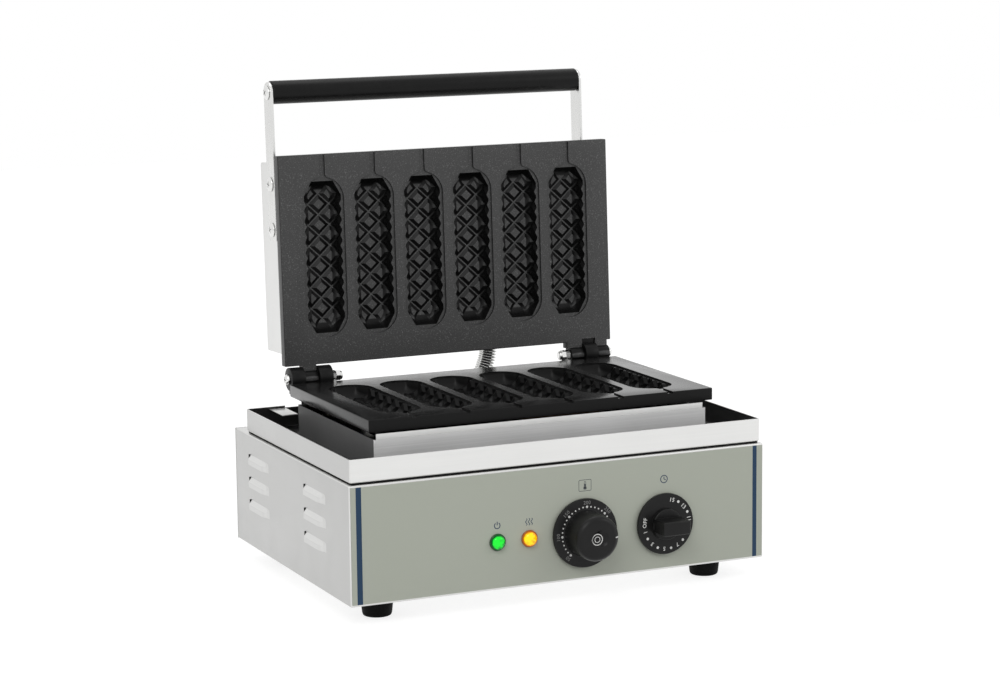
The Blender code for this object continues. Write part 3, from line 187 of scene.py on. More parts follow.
def combine(data, other, action='DIFFERENCE'):
    """One shape cut by, or united with, another."""
    target, tool = temporary(data), temporary(other)
    change = target.modifiers.new("change", 'BOOLEAN')
    change.operation = action
    change.solver = 'MANIFOLD'
    change.object = tool
    result = settled(target)
    bpy.data.objects.remove(tool, do_unlink=True)
    return result


def round_edges(source, width, segments):
    change = source.modifiers.new("edges", 'BEVEL')
    change.width = width
    change.segments = segments
    change.limit_method = 'ANGLE'
    change.angle_limit = math.radians(40)
    change.harden_normals = False


def bevelled(data, width, segments=3):
    source = temporary(data)
    round_edges(source, width, segments)
    return settled(source)


def turned_data(profile, steps=64):
    """A closed profile of radius and height, turned about the Z axis."""
    data = bpy.data.meshes.new("profile")
    data.from_pydata([(r, 0, z) for r, z in profile], [(i, i + 1) for i in range(len(profile) - 1)], [])
    source = temporary(data)
    screw = source.modifiers.new("turn", 'SCREW')
    screw.steps = steps
    screw.render_steps = steps
    screw.use_merge_vertices = True
    screw.merge_threshold = WELD
    return clean_normals(settled(source))


def add_line(curve, points, closed):
    line = curve.splines.new('POLY')
    line.points.add(len(points) - 1)
    line.use_cyclic_u = closed
    for spot, point in zip(line.points, points):
        spot.co = (*point, 1.0)


def curve_data(points, radius, resolution=4):
    curve = bpy.data.curves.new("line", 'CURVE')
    curve.dimensions = '3D'
    curve.bevel_depth = radius
    curve.bevel_resolution = resolution
    curve.use_fill_caps = True
    add_line(curve, points, False)
    return clean_normals(settled(temporary(curve)))


def outline_data(points, thickness, rounding=0.0, resolution=2, holes=()):
    """A flat outline in XY with a thickness about z = 0; rounding stays inside it."""
    curve = bpy.data.curves.new("outline", 'CURVE')
    curve.dimensions = '2D'
    curve.fill_mode = 'BOTH'
    curve.extrude = thickness / 2 - rounding
    curve.bevel_depth = rounding
    curve.bevel_resolution = resolution
    curve.offset = -rounding
    for loop in (points, *holes):
        add_line(curve, [(x, y, 0) for x, y in loop], True)
    return clean_normals(settled(temporary(curve)))


def arc(center, radius, start_deg, end_deg, steps):
    spots = []
    for i in range(steps + 1):
        angle = math.radians(start_deg + (end_deg - start_deg) * i / steps)
        spots.append((center[0] + radius * math.cos(angle), center[1] + radius * math.sin(angle)))
    return spots


def aim(spot, direction):
    return Matrix.Translation(spot) @ Vector(direction).to_track_quat('Z', 'Y').to_matrix().to_4x4()


def piece(name, data, look, body, replaced=(), smooth_deg=35):
    """A finished piece: shaded, dressed, riding its body and standing for its CAD nodes."""
    made = linked(name, data)
    data.name = name
    if look is not None:
        data.materials.clear()
        data.materials.append(look)
    data.shade_smooth()
    data.set_sharp_from_angle(angle=math.radians(smooth_deg))
    if body:
        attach(made, body)
    if replaced:
        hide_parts(*replaced)
    return made


class Field:
    """A value in a node tree, on which plain arithmetic adds nodes."""

    def __init__(self, tree, socket):
        self.tree = tree
        self.socket = socket

    def math(self, operation, *others, clamp=False):
        made = self.tree.nodes.new("ShaderNodeMath")
        made.operation = operation
        made.use_clamp = clamp
        for slot, value in zip(made.inputs, (self, *others)):
            feed(self.tree, value, slot)
        return Field(self.tree, made.outputs[0])

    def __add__(self, other):
        return self.math("ADD", other)

    def __sub__(self, other):
        return self.math("SUBTRACT", other)

    def __rsub__(self, other):
        return self.math("MULTIPLY", -1.0) + other

    def __mul__(self, other):
        return self.math("MULTIPLY", other)

    def __truediv__(self, other):
        return self.math("DIVIDE", other)

    def __abs__(self):
        return self.math("ABSOLUTE")

    def least(self, other):
        return self.math("MINIMUM", other)

    def most(self, other):
        return self.math("MAXIMUM", other)

    def below(self, other):
        return self.math("LESS_THAN", other)

    def above(self, other):
        return self.math("GREATER_THAN", other)

    def sin(self):
        return self.math("SINE")

    def cos(self):
        return self.math("COSINE")

    def held(self):
        """The value kept between 0 and 1."""
        return self.math("ADD", 0.0, clamp=True)


def feed(tree, value, slot):
    if isinstance(value, Field):
        tree.links.new(value.socket, slot)
    elif isinstance(value, bpy.types.NodeSocket):
        tree.links.new(value, slot)
    else:
        slot.default_value = value


def node(tree, kind, values=None, output=0, **settings):
    """A node with its settings and inputs; the chosen output comes back as a Field."""
    made = tree.nodes.new(kind)
    for key, value in settings.items():
        setattr(made, key, value)
    for key, value in (values or {}).items():
        feed(tree, value, made.inputs[key])
    return Field(tree, made.outputs[output])


def split(vector):
    made = vector.tree.nodes.new("ShaderNodeSeparateXYZ")
    feed(vector.tree, vector, made.inputs[0])
    return [Field(vector.tree, socket) for socket in made.outputs]


def vector_of(tree, x, y, z):
    return node(tree, "ShaderNodeCombineXYZ", {0: x, 1: y, 2: z})


def own_spot(tree):
    """The object's own coordinates."""
    return node(tree, "ShaderNodeTexCoord", output=3)


def face_normal(tree):
    return node(tree, "ShaderNodeNewGeometry", output=1)


def noise(tree, spot, scale, detail, dimensions='3D', **more):
    values = {"Vector": spot, "Scale": scale, "Detail": detail, **more}
    return node(tree, "ShaderNodeTexNoise", values, noise_dimensions=dimensions)


def dot_of(tree, first, second):
    made = tree.nodes.new("ShaderNodeVectorMath")
    made.operation = 'DOT_PRODUCT'
    feed(tree, first, made.inputs[0])
    feed(tree, second, made.inputs[1])
    return Field(tree, made.outputs["Value"])


def seen_rays(tree, *names):
    """1 for a ray of one of those kinds."""
    rays = tree.nodes.new("ShaderNodeLightPath")
    kinds = [Field(tree, rays.outputs["Is %s Ray" % name]) for name in names]
    seen = kinds[0]
    for kind in kinds[1:]:
        seen = seen.most(kind)
    return seen


def extruded(tree, mesh, rise):
    """The outputs of a mesh raised along Z as one."""
    made = tree.nodes.new("GeometryNodeExtrudeMesh")
    feed(tree, mesh, made.inputs["Mesh"])
    feed(tree, vector_of(tree, 0.0, 0.0, rise), made.inputs["Offset"])
    made.inputs["Individual"].default_value = False
    return made.outputs


def welded(tree, *shapes):
    both = tree.nodes.new("GeometryNodeJoinGeometry")
    for shape in shapes:
        feed(tree, shape, both.inputs[0])
    return node(tree, "GeometryNodeMergeByDistance", {"Geometry": both.outputs[0], "Distance": WELD})


def dressed(tree, points, instance, coat, out, **more):
    """The end of a geometry tree: copies on points, made real and given their material."""
    copies = node(tree, "GeometryNodeInstanceOnPoints", {"Points": points, "Instance": instance, **more})
    real = node(tree, "GeometryNodeRealizeInstances", {"Geometry": copies})
    done = node(tree, "GeometryNodeSetMaterial", {"Geometry": real, "Material": coat})
    feed(tree, done, out.inputs["Geometry"])
    return tree


def open_tree(name, kind, inputs, outputs):
    """A node group with named sockets; sizes come as (name, type, value)."""
    tree = bpy.data.node_groups.new(name, kind)
    for label, sort, value in inputs:
        socket = tree.interface.new_socket(label, in_out='INPUT', socket_type="NodeSocket" + sort)
        if value is not None:
            socket.default_value = value
    for label, sort in outputs:
        tree.interface.new_socket(label, in_out='OUTPUT', socket_type="NodeSocket" + sort)
    source = tree.nodes.new("NodeGroupInput")
    given = {socket.name: Field(tree, socket) for socket in source.outputs if socket.name}
    return tree, given, tree.nodes.new("NodeGroupOutput")


def grown(tree, values):
    """The mesh that a geometry tree makes from its named inputs."""
    source = temporary(bpy.data.meshes.new("grown"))
    change = source.modifiers.new("grown", 'NODES')
    change.node_group = tree
    for item in tree.interface.items_tree:
        if item.item_type == 'SOCKET' and item.in_out == 'INPUT' and item.name in values:
            change[item.identifier] = values[item.name]
    return settled(source)


# Shader groups

def make_brushing():
    """Lines of a brushed sheet: along X on faces across Y or Z, along Y on the sides."""
    tree, given, out = open_tree(
        "brushed_sheet", "ShaderNodeTree",
        [("Line Length", "Float", 5.0), ("Line Pitch", "Float", 2600.0), ("Cloud Scale", "Float", 9.0)],
        [("Streak", "Float"), ("Cloud", "Float"), ("Height", "Float")])
    spot = own_spot(tree)
    x, y, z = split(spot)
    side = abs(split(face_normal(tree))[0]).above(0.7)
    fine = given["Line Pitch"]
    long = given["Line Length"]
    across_x = long + (fine - long) * side
    across_y = fine + (long - fine) * side
    lines = vector_of(tree, x * across_x * (1.0 - side) + x * long * side, y * across_y, z * fine)
    streak = noise(tree, lines, 1.0, 3.0, Roughness=0.6)
    broad = vector_of(tree, x * (1.0 - side) * long * 2.0, y * across_y * 0.12, z * fine * 0.12)
    band = noise(tree, broad, 1.0, 2.0)
    cloud = noise(tree, spot, given["Cloud Scale"], 4.0)
    feed(tree, streak * 0.6 + band * 0.4, out.inputs["Streak"])
    feed(tree, cloud, out.inputs["Cloud"])
    feed(tree, streak, out.inputs["Height"])
    return tree


def make_casting_skin():
    """Sand cast skin under a sprayed coat: pits, grains and slow waves."""
    tree, given, out = open_tree(
        "cast_skin", "ShaderNodeTree",
        [("Grain Scale", "Float", 900.0), ("Wave Scale", "Float", 60.0)],
        [("Height", "Float"), ("Speck", "Float"), ("Cloud", "Float")])
    spot = own_spot(tree)
    grain = noise(tree, spot, given["Grain Scale"], 2.0, Roughness=0.65)
    pits = node(tree, "ShaderNodeTexVoronoi", {"Vector": spot, "Scale": given["Grain Scale"] * 0.7})
    wave = noise(tree, spot, given["Wave Scale"], 3.0)
    cloud = noise(tree, spot, given["Wave Scale"] * 0.15, 3.0)
    feed(tree, grain * 0.7 + pits * 0.3 + wave * 0.25, out.inputs["Height"])
    feed(tree, ((grain - 0.56) * 6.0).held(), out.inputs["Speck"])
    feed(tree, cloud, out.inputs["Cloud"])
    return tree


def make_edge_wear_and_highlight():
    """Paler rounded edges, partly rubbing wear and partly painted highlight, where the bevelled normal leaves the
    face's own.
    """
    tree, given, out = open_tree(
        "edge_wear_and_highlight", "ShaderNodeTree",
        [("Reach", "Float", 0.0006), ("Break Up", "Float", 260.0), ("Amount", "Float", 1.0)],
        [("Mask", "Float"), ("Normal", "Vector")])
    round_normal = node(tree, "ShaderNodeBevel", {"Radius": given["Reach"]}, samples=4)
    turn = 1.0 - dot_of(tree, round_normal, face_normal(tree))
    broken = noise(tree, own_spot(tree), given["Break Up"], 3.0)
    mask = ((turn * 9.0).held() * ((broken - 0.35) * 3.0).held() * given["Amount"]).held()
    feed(tree, mask, out.inputs["Mask"])
    feed(tree, round_normal, out.inputs["Normal"])
    return tree


def make_handling():
    """Dust, wipe marks and finger smudges that change the gloss of a surface."""
    tree, given, out = open_tree(
        "handling", "ShaderNodeTree", [("Scale", "Float", 22.0), ("Seed", "Float", 0.0)],
        [("Smudge", "Float"), ("Dust", "Float")])
    spot = own_spot(tree)
    smear = noise(tree, spot, given["Scale"], 5.0, '4D', W=given["Seed"], Distortion=0.8)
    dust = noise(tree, spot, given["Scale"] * 30.0, 2.0, '4D', W=given["Seed"] + 3.0)
    feed(tree, ((smear - 0.45) * 3.0).held(), out.inputs["Smudge"])
    feed(tree, ((dust - 0.62) * 8.0).held(), out.inputs["Dust"])
    return tree


def make_facing():
    """How far a face looks the given way in the object's own frame.

    Faces past the half width count as looking that way."""
    tree, given, out = open_tree(
        "facing_way", "ShaderNodeTree",
        [("Way", "Vector", (0.0, 0.0, 1.0)), ("Half Width", "Float", 1.0), ("From", "Float", 0.93)],
        [("Along", "Float")])
    own = node(tree, "ShaderNodeVectorTransform", {0: face_normal(tree)}, vector_type='NORMAL',
               convert_from='WORLD', convert_to='OBJECT')
    along = ((dot_of(tree, own, given["Way"]) - given["From"]) / 0.04).held()
    x, _, _ = split(own_spot(tree))
    outer = ((abs(x) - given["Half Width"]) / (0.5 * MM)).held() * ((abs(split(own)[0]) - 0.8) * 8.0).held()
    feed(tree, along.most(outer), out.inputs["Along"])
    return tree


BRUSHING = make_brushing()
FACING = make_facing()
CAST_SKIN = make_casting_skin()
EDGE_WEAR_AND_HIGHLIGHT = make_edge_wear_and_highlight()
HANDLING = make_handling()


def use_group(tree, group, values=None):
    made = tree.nodes.new("ShaderNodeGroup")
    made.node_tree = group
    for key, value in (values or {}).items():
        feed(tree, value, made.inputs[key])
    return {socket.name: Field(tree, socket) for socket in made.outputs}


def blend_colors(tree, first, second, share):
    made = tree.nodes.new("ShaderNodeMix")
    made.data_type = 'RGBA'
    feed(tree, share, made.inputs["Factor"])
    for slot, value in ((made.inputs[6], first), (made.inputs[7], second)):
        feed(tree, value if isinstance(value, Field) else (*value, 1.0), slot)
    return Field(tree, made.outputs[2])


def grey(value):
    return (value, value, value)


def scaled(tone, share):
    return [c * share for c in tone]


def open_material(name, metallic=0.0, **constants):
    made = bpy.data.materials.new(name)
    made.use_nodes = True
    shader = made.node_tree.nodes["Principled BSDF"]
    shader.inputs["Metallic"].default_value = metallic
    for key, value in constants.items():
        shader.inputs[key.replace("_", " ")].default_value = value
    return made, made.node_tree, shader


def bump(tree, shader, height, distance, strength=1.0, normal=None):
    values = {"Height": height, "Distance": distance, "Strength": strength}
    if normal is not None:
        values["Normal"] = normal
    feed(tree, node(tree, "ShaderNodeBump", values), shader.inputs["Normal"])


def surface(tree, shader, color, rough, *relief):
    """The colour and roughness of a look, and its fine relief as bump takes it."""
    feed(tree, color, shader.inputs["Base Color"])
    feed(tree, rough, shader.inputs["Roughness"])
    bump(tree, shader, *relief)


def brushed_steel(name, tone, rough=0.3, line=2600.0, contrast=0.10, seed=0.0, wear_and_highlight=0.35, side=1.0, metal=1.0,
                  inside=None, shade_tone=0.09):
    """Brushed sheet. Its sides that look to -X take a share of the tone, a painted shade, and inside the given box
    it turns a dark grey, a painted shade and dark reflection.
    """
    made, tree, shader = open_material(name, metal, Anisotropic=0.35)
    sheet = use_group(tree, BRUSHING, {"Line Pitch": line})
    marks = use_group(tree, HANDLING, {"Seed": seed})
    edge = use_group(tree, EDGE_WEAR_AND_HIGHLIGHT, {"Reach": 0.5 * MM, "Amount": wear_and_highlight})
    low = scaled(tone, 1.0 - contrast)
    high = [min(c, 1.0) for c in scaled(tone, 1.0 + contrast)]
    share = (sheet["Streak"] * 0.75 + sheet["Cloud"] * 0.5 - 0.12).held()
    color = blend_colors(tree, low, high, share)
    # painted shade: faces that look to -X, the left sides, take the tone times side, so they come out darker than
    # the front
    left_side_shade = use_group(tree, FACING, {"Way": (-1.0, 0.0, 0.0)})["Along"]
    color = blend_colors(tree, color, scaled(tone, side), left_side_shade * 0.9)
    # edges turn paler under the edge mask: partly rubbing wear, partly a painted highlight
    color = blend_colors(tree, color, (0.86, 0.86, 0.85), edge["Mask"])
    rough_now = sheet["Streak"] * 0.12 + marks["Smudge"] * 0.07 + rough - 0.06
    # painted shade: inside the box the sheet turns a dark grey, standing for shade and dark reflection inside the
    # tray and on the housing's flanks
    if inside:
        spot = split(own_spot(tree))
        deep = None
        for place, low_end, high_end in zip(spot, *inside):
            for room in (place - low_end, high_end - place):
                step = (room / (0.2 * MM)).held()
                deep = step if deep is None else deep.least(step)
        painted_shade = blend_colors(tree, grey(shade_tone * 0.7), grey(shade_tone * 1.1), (sheet["Cloud"] - 0.25) * 2.0)
        color = blend_colors(tree, color, painted_shade, deep)
        rough_now = rough_now + deep * 0.02
    surface(tree, shader, color, rough_now, sheet["Height"], 0.006 * MM, 0.6, edge["Normal"])
    return made


def polished_steel(name, tone, rough=0.16, seed=1.0, smear=1.0, wear_and_highlight=0.5):
    made, tree, shader = open_material(name, 1.0)
    marks = use_group(tree, HANDLING, {"Scale": 90.0, "Seed": seed})
    edge = use_group(tree, EDGE_WEAR_AND_HIGHLIGHT, {"Reach": 0.25 * MM, "Amount": wear_and_highlight})
    color = blend_colors(tree, tone, scaled(tone, 0.82), marks["Smudge"] * 0.6 * smear)
    # edges turn paler under the edge mask: partly rubbing wear, partly a painted highlight
    surface(tree, shader, blend_colors(tree, color, (0.92, 0.92, 0.9), edge["Mask"]),
            (marks["Smudge"] * 0.14 + marks["Dust"] * 0.2) * smear + rough,
            marks["Smudge"], 0.01 * MM * smear, 0.5, edge["Normal"])
    return made


def coated_casting(name, way, tone, rough, shine=0.5, speck=0.16, relief=0.07):
    """Sprayed non-stick coat: flats along the way keep the coat's tone, and the slopes and walls between them take
    a near-black painted shade.
    """
    made, tree, shader = open_material(name)
    skin = use_group(tree, CAST_SKIN, {"Grain Scale": 850.0})
    marks = use_group(tree, HANDLING, {"Scale": 30.0, "Seed": 5.0})
    flat = use_group(tree, FACING, {"Way": way, "Half Width": COATED_HALF_W})["Along"]
    color = blend_colors(tree, scaled(tone, 0.8), tone, skin["Cloud"])
    color = blend_colors(tree, color, grey(speck), skin["Speck"] * 0.6)
    # painted shade: faces off the way, the pocket slopes and recess walls, take the near-black slope tone
    color = blend_colors(tree, grey(SHADED_SLOPE_TONE), color, flat)
    rough_flat = marks["Smudge"] * 0.06 + skin["Cloud"] * 0.08 + rough - 0.06
    feed(tree, flat * (shine - SLOPE_SHINE) + SLOPE_SHINE, shader.inputs["Specular IOR Level"])
    surface(tree, shader, color, rough_flat * flat + (1.0 - flat) * SLOPE_ROUGH, skin["Height"], relief * MM, 0.8)
    return made


def moulded_plastic(name, tone, rough=0.4, grain=1500.0, relief=0.012, shine=0.5, seed=2.0):
    made, tree, shader = open_material(name, Specular_IOR_Level=shine)
    skin = use_group(tree, CAST_SKIN, {"Grain Scale": grain, "Wave Scale": 110.0})
    marks = use_group(tree, HANDLING, {"Scale": 60.0, "Seed": seed})
    edge = use_group(tree, EDGE_WEAR_AND_HIGHLIGHT, {"Reach": 0.4 * MM, "Amount": 0.4})
    light = [c * 1.9 + 0.006 for c in tone]
    color = blend_colors(tree, tone, light, marks["Smudge"] * 0.25 + marks["Dust"] * 0.3)
    # edges turn paler under the edge mask: partly rubbing wear, partly a painted highlight
    surface(tree, shader, blend_colors(tree, color, light, edge["Mask"]),
            marks["Smudge"] * 0.1 + skin["Cloud"] * 0.06 + rough - 0.04,
            skin["Height"], relief * MM, 0.7, edge["Normal"])
    return made


def printed_foil(name):
    """The front film: an olive grey ground with a blue stripe near each end."""
    made, tree, shader = open_material(name, Specular_IOR_Level=0.4)
    x, _, _ = split(own_spot(tree))
    mask = None
    for middle, width in ((STRIPE_LEFT, STRIPE_LEFT_W), (STRIPE_RIGHT, STRIPE_RIGHT_W)):
        band = ((width / 2 - abs(x - middle)) / (0.05 * MM) + 0.5).held()
        mask = band if mask is None else mask.most(band)
    skin = use_group(tree, CAST_SKIN, {"Grain Scale": 2600.0, "Wave Scale": 14.0})
    marks = use_group(tree, HANDLING, {"Scale": 12.0, "Seed": 9.0})
    color = blend_colors(tree, FOIL_TONE, FOIL_PALE, skin["Cloud"] * 0.16 + marks["Dust"] * 0.12)
    surface(tree, shader, blend_colors(tree, color, STRIPE_TONE, mask),
            marks["Smudge"] * 0.07 + mask * 0.05 + 0.42, skin["Height"], 0.008 * MM, 0.6)
    return made


def ink(name, tone):
    made, tree, shader = open_material(name)
    marks = use_group(tree, HANDLING, {"Scale": 260.0, "Seed": 4.0})
    surface(tree, shader, blend_colors(tree, tone, scaled(tone, 0.8), marks["Smudge"] * 0.5),
            marks["Smudge"] * 0.15 + 0.42, marks["Smudge"], 0.004 * MM, 0.4)
    return made


def lit_lens(name, core, rim, strength):
    """A moulded lens with a lamp behind it: bright in the middle, deep at the rim, with streaks."""
    made, tree, shader = open_material(name, Roughness=0.12, Coat_Weight=0.15, Specular_IOR_Level=0.3,
                                       Emission_Strength=strength)
    facing = node(tree, "ShaderNodeLayerWeight", {"Blend": 0.5}, output=1)
    ribs = noise(tree, own_spot(tree), 420.0, 2.0)
    share = (facing * 2.4 - 0.35 + (ribs - 0.5) * 2.2).held()
    color = blend_colors(tree, core, rim, share)
    feed(tree, blend_colors(tree, grey(0.0), color, 0.22), shader.inputs["Base Color"])
    feed(tree, color, shader.inputs["Emission Color"])
    bump(tree, shader, ribs, 0.05 * MM, 0.5)
    return made


def wool_mat(name):
    made, tree, shader = open_material(name, Sheen_Weight=0.3)
    tuft = noise(tree, own_spot(tree), 420.0, 6.0, Distortion=1.5)
    surface(tree, shader, blend_colors(tree, (0.42, 0.36, 0.24), (0.74, 0.69, 0.56), tuft),
            tuft * 0.1 + 0.88, tuft, 0.4 * MM)
    return made


COATED_HALF_W = 174 * MM
# near-black painted shade for the slopes and walls of the castings
SHADED_SLOPE_TONE = 0.004
SLOPE_ROUGH = 0.36
SLOPE_SHINE = 0.16

# Colours of the front film and places of its stripes
FOIL_TONE = (0.478, 0.505, 0.432)
FOIL_PALE = (0.53, 0.55, 0.49)
STRIPE_TONE = (0.006, 0.036, 0.088)
STRIPE_LEFT_W = 5.3 * MM
STRIPE_RIGHT_W = 4.4 * MM
STRIPE_LEFT = -202.2 * MM
STRIPE_RIGHT = 201.4 * MM

TRAY_LOW, TRAY_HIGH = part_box("drip_tray")
HOUSING_LOW, HOUSING_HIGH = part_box("lower_housing")
# Boxes where the steel gets a dark painted shade: inside the tray, and the housing behind its front face
TRAY_SHADED_INSIDE = ((TRAY_LOW.x + 0.5 * MM, TRAY_LOW.y + 0.5 * MM, TRAY_LOW.z + 0.5 * MM),
               (TRAY_HIGH.x - 0.5 * MM, TRAY_HIGH.y - 0.5 * MM, TRAY_HIGH.z - 0.2 * MM))
HOUSING_SHADED_FLANK = ((HOUSING_LOW.x - MM, HOUSING_LOW.y + 0.8 * MM, HOUSING_LOW.z - MM),
                 (HOUSING_HIGH.x + MM, HOUSING_HIGH.y + MM, HOUSING_HIGH.z + MM))
# side is the share of the tone on the left sides, a painted shade
STEEL = brushed_steel("brushed_steel", (0.66, 0.66, 0.65), 0.30, side=0.72)
# the louvre hoods: the body's steel in a paler copy with less side shade, a painted highlight on the pressed hoods
STEEL_HOOD_LIT = brushed_steel("hood_steel_painted_light", (0.69, 0.69, 0.68), 0.34, seed=4.0, side=0.86)
STEEL_CASE = brushed_steel("case_steel", (0.72, 0.72, 0.71), 0.30, seed=5.0, wear_and_highlight=0.1)
STEEL_TRAY = brushed_steel("tray_steel", (0.70, 0.70, 0.69), 0.30, seed=2.0, side=0.70, inside=TRAY_SHADED_INSIDE,
                           shade_tone=0.12)
STEEL_COARSE = brushed_steel("coarse_brushed_steel", (0.94, 0.94, 0.93), 0.52, line=900.0, contrast=0.4,
                             seed=3.0, metal=0.25, inside=HOUSING_SHADED_FLANK, shade_tone=0.16)
STEEL_ARM = brushed_steel("arm_steel", (0.70, 0.70, 0.69), 0.26, seed=6.0, wear_and_highlight=0.0, contrast=0.04)
BRIGHT = polished_steel("bright_steel", (0.76, 0.76, 0.75))
PAN = polished_steel("pressed_pan", (0.78, 0.78, 0.77), 0.3, 7.0, 0.25, 0.0)
# The bed and the lid carry the same coat; the bed's tone is much darker than the lid's, a painted shade on its
# upward face
CAST_BED = coated_casting("coated_bed", (0.0, 0.0, 1.0), grey(0.010), 0.22, 0.55, 0.04, 0.02)
LID_FACE_WAY = tuple(OPEN_LID.to_3x3() @ Vector((0, 0, -1)))
CAST_LID = coated_casting("coated_lid", LID_FACE_WAY, grey(0.044), 0.44, 0.42, 0.2)
PLASTIC = moulded_plastic("black_plastic", grey(0.008), 0.32, shine=0.2)
GRIP_SKIN = moulded_plastic("grip_plastic", grey(0.004), 0.34, 1100.0, 0.02, shine=0.16, seed=8.0)
RUBBER = moulded_plastic("black_rubber", grey(0.006), 0.66, 800.0, 0.03, shine=0.08, seed=11.0)
CASE_PLASTIC = moulded_plastic("case_plastic", (0.62, 0.59, 0.52), 0.5, 900.0, 0.02, seed=12.0)
SLEEVE = moulded_plastic("lead_sleeve", (0.035, 0.035, 0.036), 0.6, 600.0, 0.05, seed=13.0)
FOIL = printed_foil("printed_foil")
BRASS = polished_steel("brass", (0.62, 0.42, 0.17), 0.28, 14.0)
COPPER = polished_steel("tarnished_tube", (0.09, 0.062, 0.045), 0.42, 15.0)
WOOL = wool_mat("mineral_wool")
GREEN = lit_lens("green_lens", (0.0, 0.88, 0.03), (0.0, 0.10, 0.02), 0.92)
GREEN_RIM = lit_lens("green_rim", (0.0, 0.30, 0.03), (0.0, 0.05, 0.01), 0.12)
AMBER = lit_lens("amber_lens", (1.0, 0.80, 0.0), (0.80, 0.22, 0.0), 0.92)
AMBER_RIM = lit_lens("amber_rim", (0.80, 0.22, 0.01), (0.5, 0.10, 0.0), 0.25)
PALE_INK = ink("pale_ink", (0.78, 0.78, 0.76))
WHITE_INK = ink("white_ink", (0.88, 0.88, 0.86))
NUMBER_INK = ink("number_ink", (0.24, 0.24, 0.235))
GREY_INK = ink("grey_ink", (0.035, 0.045, 0.055))
BLUE_INK = ink("blue_ink", (0.012, 0.035, 0.085))

for look, names in (
        (FOIL, ("front_foil",)),
        (STEEL, ("rear_panel", "bottom_plate", "lower_heater_clamp", "upper_heater_clamp")),
        (PAN, ("heater_pan",)),
        (BRIGHT, ("lower_heater", "upper_heater", "handle_rod", "thermostat_shaft", "timer_shaft")),
        # the tray seal: a black rubber strip under the tray's rim; the dark line it draws between tray and body is
        # partly the seal and partly painted shade of the gap
        (RUBBER, ("tray_seal",)),
        (WOOL, ("lower_insulation", "upper_insulation")),
        (CASE_PLASTIC, ("thermostat_body", "timer_body", "terminal_block")),
        (BRASS, ("earth_stud",)),
        (COPPER, ("thermostat_bulb",))):
    for name in names:
        worn = frame["nodes"][name].data.materials
        worn.clear()
        worn.append(look)


# Moulds: the lattice pocket is a geometry tree, placed six times in each casting

STUD_ACROSS = 11.0 * MM
STUD_ALONG = 10.2 * MM
CELL_STEPS = 12
HALF_ROWS_ACROSS = 2.5
HALF_ROWS_ALONG = 7.25
GROOVE_DEPTH = 2.0 * MM
POCKET_HALF_W = 19.2 * MM
POCKET_DEPTH = 13.0 * MM
POCKET_CORNER_R = 9.24 * MM
POCKET_WALL_DEG = 80
POCKET_END = 12.5 * MM
POCKET_TAPER = 14.0 * MM
POCKET_TAPER_SHARE = 0.417
POCKETS = 6
POCKET_PITCH = 52.4 * MM
POCKET_MIDDLE = 116.7 * MM
RECESS_HALF_L = 78.0 * MM
RECESS_R = 21.7 * MM
RECESS_DEPTH = 1.8 * MM
CHANNEL_HALF_W = 2.8 * MM
CHANNEL_FLARE = 4.0 * MM


